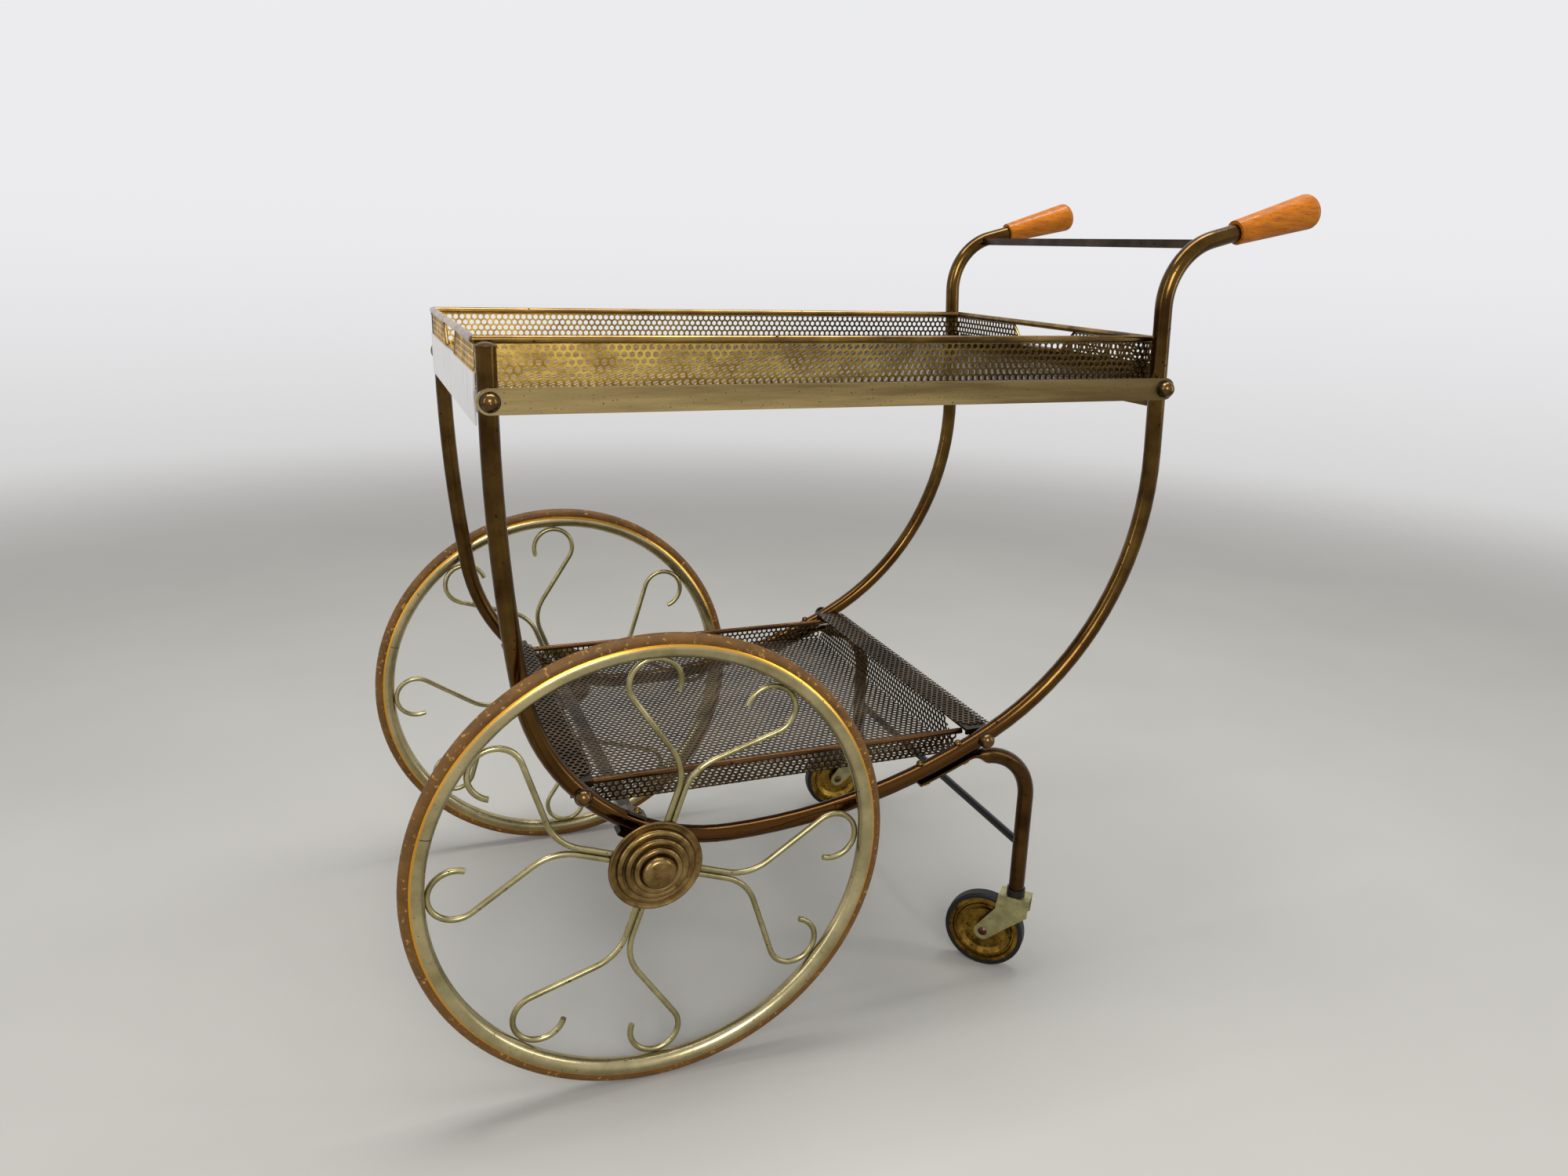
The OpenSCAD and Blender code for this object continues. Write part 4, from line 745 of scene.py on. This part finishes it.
# Perforated brass, punched flat and then folded: bright gold at the front, brown at the back.
tray_brass = old_brass("satin perforated brass", "#f0cc60", "#94722c", 0.28, 18, ("#4a3a1c", 6, 0.08),
                       fade=(0, -260, 110, "#4c3a1a"))
# The same sheet on the shelf, darkened to grey brown as painted shade under the tray.
shelf_brass_painted_shade = old_brass("browned perforated brass with painted shade", "#5a4a30", "#352a1c", 0.34, 50, ("#241a10", 5, 0.15))
# Brass bead along the tray's rim, rubbed by hands: gold with long brown patches.
bead_brass = old_brass("rubbed brass bead", "#a3834a", "#4e3a1e", 0.22, 30, dark_spots, (0.3, 1, 1))
# Brass rod along the shelf, drawn and left alone: red brown with long patches.
rod_brass = old_brass("browned brass rod", "#6a4a2e", "#402b1a", 0.26, 30, dark_spots, (0.3, 1, 1))
# Rolled rim and drawn wire of a paler, zinc-rich brass: a greenish light gold, evenly glossy.
rim_brass = old_brass("rolled brass rim", "#b8ab82", "#8a805c", 0.24, 50, ("#5a4c2c", 3, 0.12))
spoke_brass = old_brass("drawn brass wire", "#b0a57a", "#7c734e", 0.28, 35, ("#4a3e22", 3, 0.18))
# Turned and polished heads of bolts: brown, with one bright point each.
bolt_brass = old_brass("domed brass head", "#6a5230", "#3a2a16", 0.22, 12, ("#1e140a", 2, 0.15))
# Rolled brass plate, cut and folded: cloudy brown.
plate_brass = old_brass("browned brass plate", "#6c552e", "#433218", 0.32, 40, dark_spots)
# Flat brass bar under the shelf: nearly black.
bar_brass = old_brass("dark brown brass bar", "#3e2e1c", "#241a10", 0.38, 40, dark_spots)
# Rolled bronze strip between the handles: smooth and dark grey brown.
crossbar_bronze = old_brass("dark bronze strip", "#463a2e", "#2a2119", 0.28, 40, dark_spots)
# Thin brass pressed to a wheel disc: golden brown with many dark specks.
disc_brass = old_brass("pressed brass disc", "#9a7830", "#4a3614", 0.28, 14, ("#241a0c", 3, 0.35))
# Brass sheet, cut and bent to a fork, dull from cleaning: an even olive grey.
fork_brass = old_brass("olive grey brass fork", "#aea678", "#8b845e", 0.38, 14, ("#5a5436", 3, 0.15))
# Brass pin, turned, now brown with dirt and grease.
pin_brass = old_brass("dark brown pin", "#5a4030", "#2e1f12", 0.36, 5, ("#1a120a", 2, 0.2))
# Hexagon nuts, milled from bar: clear gold, made lighter still as painted light against the shade under the
# side tube.
nut_brass_painted_light = old_brass("golden brass nut", "#c8a65c", "#8a6c34", 0.26, 6, fine_spots)
# Turned brass drum of the hub, behind its cap: plain brown gold.
hub_brass = old_brass("turned brass hub", "#8a7040", "#5e4a26", 0.32, 15, fine_spots)

for names, material in (
        (["post_caps"], tube_brass),
        (["side_rail_left", "side_rail_right"], rail_brass),
        (["upper_tray_rim"], bead_brass),
        (["shelf_rods"], rod_brass),
        (["wheel_rim_left", "wheel_rim_right"], rim_brass),
        (["rail_bolts", "shelf_bolts", "axle_strap_bolts", "leg_bolts", "rail_nuts"], bolt_brass),
        (["leg_nuts"], nut_brass_painted_light),
        (["rear_cross_plate"], plate_brass),
        (["shelf_bar_front", "shelf_bar_rear", "axle_brackets"], bar_brass),
        (["handle_crossbar"], crossbar_bronze),
        (["caster_disc_left", "caster_disc_right"], disc_brass),
        (["caster_fork_left", "caster_fork_right"], fork_brass),
        (["caster_axle_left", "caster_axle_right"], pin_brass),
        (["wheel_hub_left", "wheel_hub_right"], hub_brass)):
    for name in names:
        dress(nodes[name], material)
for pieces, material in (
        (side_tubes, tube_brass),
        (legs, leg_brass),
        (spokes, spoke_brass),
        (tray_sheets, tray_brass),
        (shelf_sheets, shelf_brass_painted_shade),
        ([edging], bead_brass)):
    for piece in pieces:
        dress(piece, material)
print("brass finishes:", len([m for m in bpy.data.materials if m.users]))

# %% [markdown]
# ## Joint in the rim
# The rim was rolled from a straight strip, and its ends meet in a butt joint. That shows as one fine
# line across the rim, 18 degrees above the axle at the front. It is drawn 0.8 mm wide. Where the rim
# meets the tyre, a painted highlight runs along its lip as a clear golden line.

# %% Joint in the rim
rim_place = rim_brass.node_tree.nodes["Texture Coordinate"].outputs["Object"]
from_axle = add_node(rim_brass, "ShaderNodeVectorMath", {0: rim_place, 1: axle_point * MM},
                     operation="SUBTRACT")
JOINT_ANGLE, JOINT_HALF_W, LIP_HIGHLIGHT_R, LIP_HIGHLIGHT_BLEND = math.radians(18), 0.4, 190.0, 0.6
joint_way = Vector((-math.cos(JOINT_ANGLE), 0, math.sin(JOINT_ANGLE)))
joint_side = Vector((joint_way.z, 0, -joint_way.x))
off_line = add_node(rim_brass, "ShaderNodeVectorMath", {0: from_axle.outputs[0], 1: joint_side},
                    operation="DOT_PRODUCT")
towards = add_node(rim_brass, "ShaderNodeVectorMath", {0: from_axle.outputs[0], 1: joint_way},
                   operation="DOT_PRODUCT")
near_line = add_node(rim_brass, "ShaderNodeMath",
                     {0: off_line.outputs["Value"], 1: 0.0, 2: JOINT_HALF_W * MM}, operation="COMPARE")
ahead = add_node(rim_brass, "ShaderNodeMath", {0: towards.outputs["Value"], 1: 0.0}, operation="GREATER_THAN")
joint = add_node(rim_brass, "ShaderNodeMath", {0: near_line.outputs[0], 1: ahead.outputs[0]},
                 operation="MULTIPLY")
lay_over(rim_brass, joint.outputs[0], "#4a3c1e")
in_plane = add_node(rim_brass, "ShaderNodeVectorMath", {0: from_axle.outputs[0], 1: (1, 0, 1)},
                    operation="MULTIPLY")
rim_radius = add_node(rim_brass, "ShaderNodeVectorMath", {0: in_plane.outputs[0]}, operation="LENGTH")
# Painted highlight: a clear golden line along the lip, where the rim meets the tyre.
lip_highlight = add_node(rim_brass, "ShaderNodeMapRange",
               {0: rim_radius.outputs["Value"], 1: LIP_HIGHLIGHT_R * MM, 2: (LIP_HIGHLIGHT_R + LIP_HIGHLIGHT_BLEND) * MM, 3: 0.0, 4: 0.9})
lay_over(rim_brass, lip_highlight.outputs[0], "#d89c30")
print("rim joint and rubbed lip drawn")

# %% [markdown]
# ## Finish of the hub caps
# Shade is painted dark into the grooves between the rings, so the top of each ring stays lighter. The
# distance from the axle says which is which, so the finish measures it and repeats for every ring.

# %% Finish of the hub caps
cap_brass = old_brass("pressed brass cap", "#8e7548", "#5c4626", 0.28, 14, ("#2a1d0e", 2.5, 0.12))
cap_place = cap_brass.node_tree.nodes["Texture Coordinate"].outputs["Object"]
centred = add_node(cap_brass, "ShaderNodeMapping",
                   {"Vector": cap_place, "Location": (-AXLE[0] * MM, 0, -AXLE[1] * MM), "Scale": (1, 0, 1)})
radius = add_node(cap_brass, "ShaderNodeVectorMath", {0: centred.outputs[0]}, operation="LENGTH")
counted = add_node(cap_brass, "ShaderNodeMath", {0: radius.outputs["Value"], 1: BOSS_R * MM},
                   operation="SUBTRACT")
rings_out = add_node(cap_brass, "ShaderNodeMath", {0: counted.outputs[0], 1: step_w * MM}, operation="DIVIDE")
from_groove = add_node(cap_brass, "ShaderNodeMath", {0: rings_out.outputs[0], 1: 0.5}, operation="PINGPONG")
groove_shade = add_node(cap_brass, "ShaderNodeMapRange",
                  {0: from_groove.outputs[0], 1: 0.0, 2: 0.16, 3: 0.6, 4: 0.0})
outside = add_node(cap_brass, "ShaderNodeMath", {0: rings_out.outputs[0], 1: -0.1}, operation="GREATER_THAN")
painted_groove_shade = add_node(cap_brass, "ShaderNodeMath", {0: groove_shade.outputs[0], 1: outside.outputs[0]},
                 operation="MULTIPLY")
# Painted shade: the grooves between the rings are laid over with dark brown.
lay_over(cap_brass, painted_groove_shade.outputs[0], "#1c140a")
for piece in hub_caps:
    dress(piece, cap_brass)
print("hub caps dressed, a ring every", round(step_w, 2), "mm")

# %% [markdown]
# ## Plated and plain steel
# The front cross plate is nickel-plated steel, pale and nearly silver, with faint upright streaks from
# wiping. The strap, axle and stems are bare steel strip and rod. Stretching the noise gives streaks.

# %% Steel


def streaked_steel(name, pale, grey, roughness, stretch):
    material, shader, place = new_material(name)
    stretched = add_node(material, "ShaderNodeMapping", {"Vector": place, "Scale": stretch})
    streaks = add_node(material, "ShaderNodeTexNoise",
                       {"Vector": stretched.outputs[0], "Scale": 120.0, "Detail": 5, "Roughness": 0.65})
    share = add_node(material, "ShaderNodeMapRange", {0: streaks.outputs[0], 1: 0.35, 2: 0.7})
    colour = add_node(material, "ShaderNodeMix",
                      {0: share.outputs[0], 6: linear(pale), 7: linear(grey)}, data_type="RGBA")
    rough = add_node(material, "ShaderNodeMapRange",
                     {0: streaks.outputs[0], 1: 0.3, 2: 0.7, 3: roughness * 0.8, 4: roughness * 1.2})
    links = material.node_tree.links
    links.new(colour.outputs[2], shader.inputs["Base Color"])
    links.new(rough.outputs[0], shader.inputs["Roughness"])
    shader.inputs["Metallic"].default_value = 1.0
    return material


plate_steel = streaked_steel("nickel-plated steel", "#f2f1ee", "#d2cfc8", 0.34, (1, 4, 0.3))
strap_steel = streaked_steel("bare steel strip", "#9a968a", "#6e6a60", 0.40, (1, 0.3, 1))
for names, material in (
        (["front_cross_plate"], plate_steel),
        (["axle_strap", "axle", "axle_nuts", "caster_stem_left", "caster_stem_right"], strap_steel)):
    for name in names:
        dress(nodes[name], material)
print("steel pieces dressed")

# %% [markdown]
# ## Rubber and black parts
# The big tyres are solid red-brown rubber, matt, with blotches of dust and pale scuffs from the floor.
# The caster tyres, collars, washers and stretcher are black. Rubber is not a metal: its colour shows in
# the body, with a weak, wide sheen on top.

# %% Rubber and black parts


def rubber(name, light, dark, roughness, blotch_mm, bump_strength, scuffs=None):
    material, shader, place = new_material(name)
    links = material.node_tree.links
    blotches = add_node(material, "ShaderNodeTexNoise",
                        {"Vector": place, "Scale": 1000 / blotch_mm, "Detail": 6, "Roughness": 0.7})
    share = add_node(material, "ShaderNodeMapRange", {0: blotches.outputs[0], 1: 0.3, 2: 0.7})
    colour = add_node(material, "ShaderNodeMix",
                      {0: share.outputs[0], 6: linear(light), 7: linear(dark)}, data_type="RGBA")
    links.new(colour.outputs[2], shader.inputs["Base Color"])
    if scuffs:
        scratches = add_node(material, "ShaderNodeTexNoise", {"Vector": place, "Scale": 260, "Detail": 4})
        scuffed = add_node(material, "ShaderNodeMapRange", {0: scratches.outputs[0], 1: 0.6, 2: 0.72})
        lay_over(material, scuffed.outputs[0], scuffs)
    grain = add_node(material, "ShaderNodeTexNoise", {"Vector": place, "Scale": 700.0, "Detail": 3})
    bump = add_node(material, "ShaderNodeBump",
                    {"Strength": bump_strength, "Distance": 0.0004, "Height": grain.outputs[0]})
    links.new(bump.outputs[0], shader.inputs["Normal"])
    shader.inputs["Roughness"].default_value = roughness
    shader.inputs["Specular IOR Level"].default_value = 0.3
    return material


tyre_rubber = rubber("red-brown solid rubber", "#6e4a18", "#4c310c", 0.55, 25, 0.25, "#a8803c")
black_rubber = rubber("black caster rubber", "#0a0d0d", "#050707", 0.5, 12, 0.2)
black_plastic = rubber("black moulded collar", "#16120e", "#0c0a08", 0.4, 10, 0.1)
black_paint = rubber("black painted rod", "#0a0908", "#050505", 0.35, 20, 0.05)
for names, material in (
        (["wheel_tyre_left", "wheel_tyre_right"], tyre_rubber),
        (["caster_tyre_left", "caster_tyre_right"], black_rubber),
        (["caster_sockets", "rail_washers", "shelf_washers"], black_plastic),
        (["leg_stretcher"], black_paint)):
    for name in names:
        dress(nodes[name], material)
print("rubber and black parts dressed")

# %% [markdown]
# ## Beech grips
# The grips are turned beech under orange varnish. Beech has a fine straight grain and short dark
# flecks, a few millimetres long and under one wide, all along the wood. The pattern is turned to the
# grip's slope of 15 degrees and drawn out along it. The varnish is a clear coat.

# %% Beech grips
beech, beech_shader, beech_place = new_material("varnished beech")
GRIP_SLOPE = math.radians(15)
grain_place = add_node(beech, "ShaderNodeMapping",
                       {"Vector": beech_place, "Rotation": (0, GRIP_SLOPE, 0), "Scale": (0.09, 1, 1)})
grain = add_node(beech, "ShaderNodeTexNoise",
                 {"Vector": grain_place.outputs[0], "Scale": 330.0, "Detail": 4, "Roughness": 0.6})
grain_share = add_node(beech, "ShaderNodeMapRange", {0: grain.outputs[0], 1: 0.3, 2: 0.7})
tone = add_node(beech, "ShaderNodeMix",
                {0: grain_share.outputs[0], 6: linear("#ba6c0a"), 7: linear("#8a4a05")}, data_type="RGBA")
beech.node_tree.links.new(tone.outputs[2], beech_shader.inputs["Base Color"])
fleck_place = add_node(beech, "ShaderNodeMapping",
                       {"Vector": beech_place, "Rotation": (0, GRIP_SLOPE, 0), "Scale": (0.2, 1, 1)})
flecks = add_node(beech, "ShaderNodeTexNoise",
                  {"Vector": fleck_place.outputs[0], "Scale": 1000.0, "Detail": 1})
fleck = add_node(beech, "ShaderNodeMapRange", {0: flecks.outputs[0], 1: 0.62, 2: 0.7, 3: 0.0, 4: 0.6})
lay_over(beech, fleck.outputs[0], "#5c2e0a")
beech_shader.inputs["Roughness"].default_value = 0.45
beech_shader.inputs["Specular IOR Level"].default_value = 0.1
beech_shader.inputs["Coat Weight"].default_value = 0.2
beech_shader.inputs["Coat Roughness"].default_value = 0.1
for name in ("grip_left", "grip_right"):
    dress(nodes[name], beech)
print("grips dressed")

# %% [markdown]
# ## Floor and background
# The trolley stands on a round, plain, pale floor. The floor fades out at its edge into a background of
# the same pale grey, which turns nearly white above the horizon, like the curved paper of a photo
# studio. So there is no hard line behind the trolley from any side, and the brass has something darker
# below and brighter above to reflect. The camera, metal and glass see the background at full strength,
# and it lights the trolley at half strength, so that the lamps still shape it.

# %% Floor and background
FLOOR_R, FADE_FROM, FADE_TO = 3.4, 1.5, 3.3
bpy.ops.object.select_all(action="DESELECT")
bpy.ops.mesh.primitive_circle_add(vertices=96, radius=FLOOR_R, fill_type="NGON")
ground = bpy.context.object
ground.name = "studio_floor"
pale_floor, floor_shader, floor_place = new_material("pale studio floor")
floor_noise = add_node(pale_floor, "ShaderNodeTexNoise", {"Vector": floor_place, "Scale": 3.0, "Detail": 6})
floor_tone = add_node(pale_floor, "ShaderNodeMix",
                      {0: floor_noise.outputs[0], 6: linear("#afada7"), 7: linear("#a3a19b")},
                      data_type="RGBA")
pale_floor.node_tree.links.new(floor_tone.outputs[2], floor_shader.inputs["Base Color"])
floor_shader.inputs["Roughness"].default_value = 0.8
from_middle = add_node(pale_floor, "ShaderNodeVectorMath", {0: floor_place}, operation="LENGTH")
fading = add_node(pale_floor, "ShaderNodeMapRange",
                  {0: from_middle.outputs["Value"], 1: FADE_FROM, 2: FADE_TO},
                  interpolation_type="SMOOTHSTEP")
nothing = add_node(pale_floor, "ShaderNodeBsdfTransparent")
faded = add_node(pale_floor, "ShaderNodeMixShader",
                 {0: fading.outputs[0], 1: floor_shader.outputs[0], 2: nothing.outputs[0]})
floor_end = pale_floor.node_tree.nodes["Material Output"]
pale_floor.node_tree.links.new(faded.outputs[0], floor_end.inputs["Surface"])
dress(ground, pale_floor)

world = bpy.data.worlds.new("studio")
bpy.context.scene.world = world
world.use_nodes = True
background = world.node_tree.nodes["Background"]
sky_place = add_node(world, "ShaderNodeTexCoord").outputs["Generated"]
sky_parts = add_node(world, "ShaderNodeSeparateXYZ", {0: sky_place})
raised = add_node(world, "ShaderNodeMapRange", {0: sky_parts.outputs["Z"], 1: -0.42, 2: 0.05},
                  interpolation_type="SMOOTHSTEP")
sky_tone = add_node(world, "ShaderNodeMix",
                    {0: raised.outputs[0], 6: linear("#b4b2ac"), 7: linear("#ececef")}, data_type="RGBA")
world.node_tree.links.new(sky_tone.outputs[2], background.inputs["Color"])
ray = add_node(world, "ShaderNodeLightPath")
seen = add_node(world, "ShaderNodeMath",
                {0: ray.outputs["Is Camera Ray"], 1: ray.outputs["Is Glossy Ray"]}, operation="MAXIMUM")
seen = add_node(world, "ShaderNodeMath",
                {0: seen.outputs[0], 1: ray.outputs["Is Transmission Ray"]}, operation="MAXIMUM")
strength = add_node(world, "ShaderNodeMapRange", {0: seen.outputs[0], 1: 0, 2: 1, 3: 0.5, 4: 1.0})
world.node_tree.links.new(strength.outputs[0], background.inputs["Strength"])
print("floor", 2 * FLOOR_R, "m across, fades out from", FADE_FROM, "m")

# %% [markdown]
# ## Lights
# Bent tube shows its shape by narrow bright lines, so the lights are narrow too: one above, one tall one
# at each side, and a small square one near the camera.

# %% Lights


def soft_light(name, at, towards, size, power):
    lamp = bpy.data.lights.new(name, "AREA")
    lamp.shape = "RECTANGLE"
    lamp.size, lamp.size_y = size
    lamp.energy = power
    holder = bpy.data.objects.new(name, lamp)
    bpy.context.scene.collection.objects.link(holder)
    holder.location = at
    holder.rotation_euler = (Vector(towards) - Vector(at)).to_track_quat("-Z", "Y").to_euler()
    return holder


soft_light("light_above", (0.0, 0.1, 2.4), (0, 0, 0.4), (2.0, 0.6), 48)
soft_light("light_front", (-0.6, -2.2, 1.5), (0, 0, 0.4), (0.9, 0.9), 30)
soft_light("light_left", (-2.4, -0.6, 1.4), (0, 0, 0.4), (0.3, 1.8), 12)
soft_light("light_right", (2.1, -1.4, 1.2), (0, 0, 0.5), (0.3, 1.8), 12)
bpy.context.scene.view_settings.view_transform = "Standard"

# %% [markdown]
# ## Finish
# The view layer is brought up to date.

# %% Finish
bpy.context.view_layer.update()
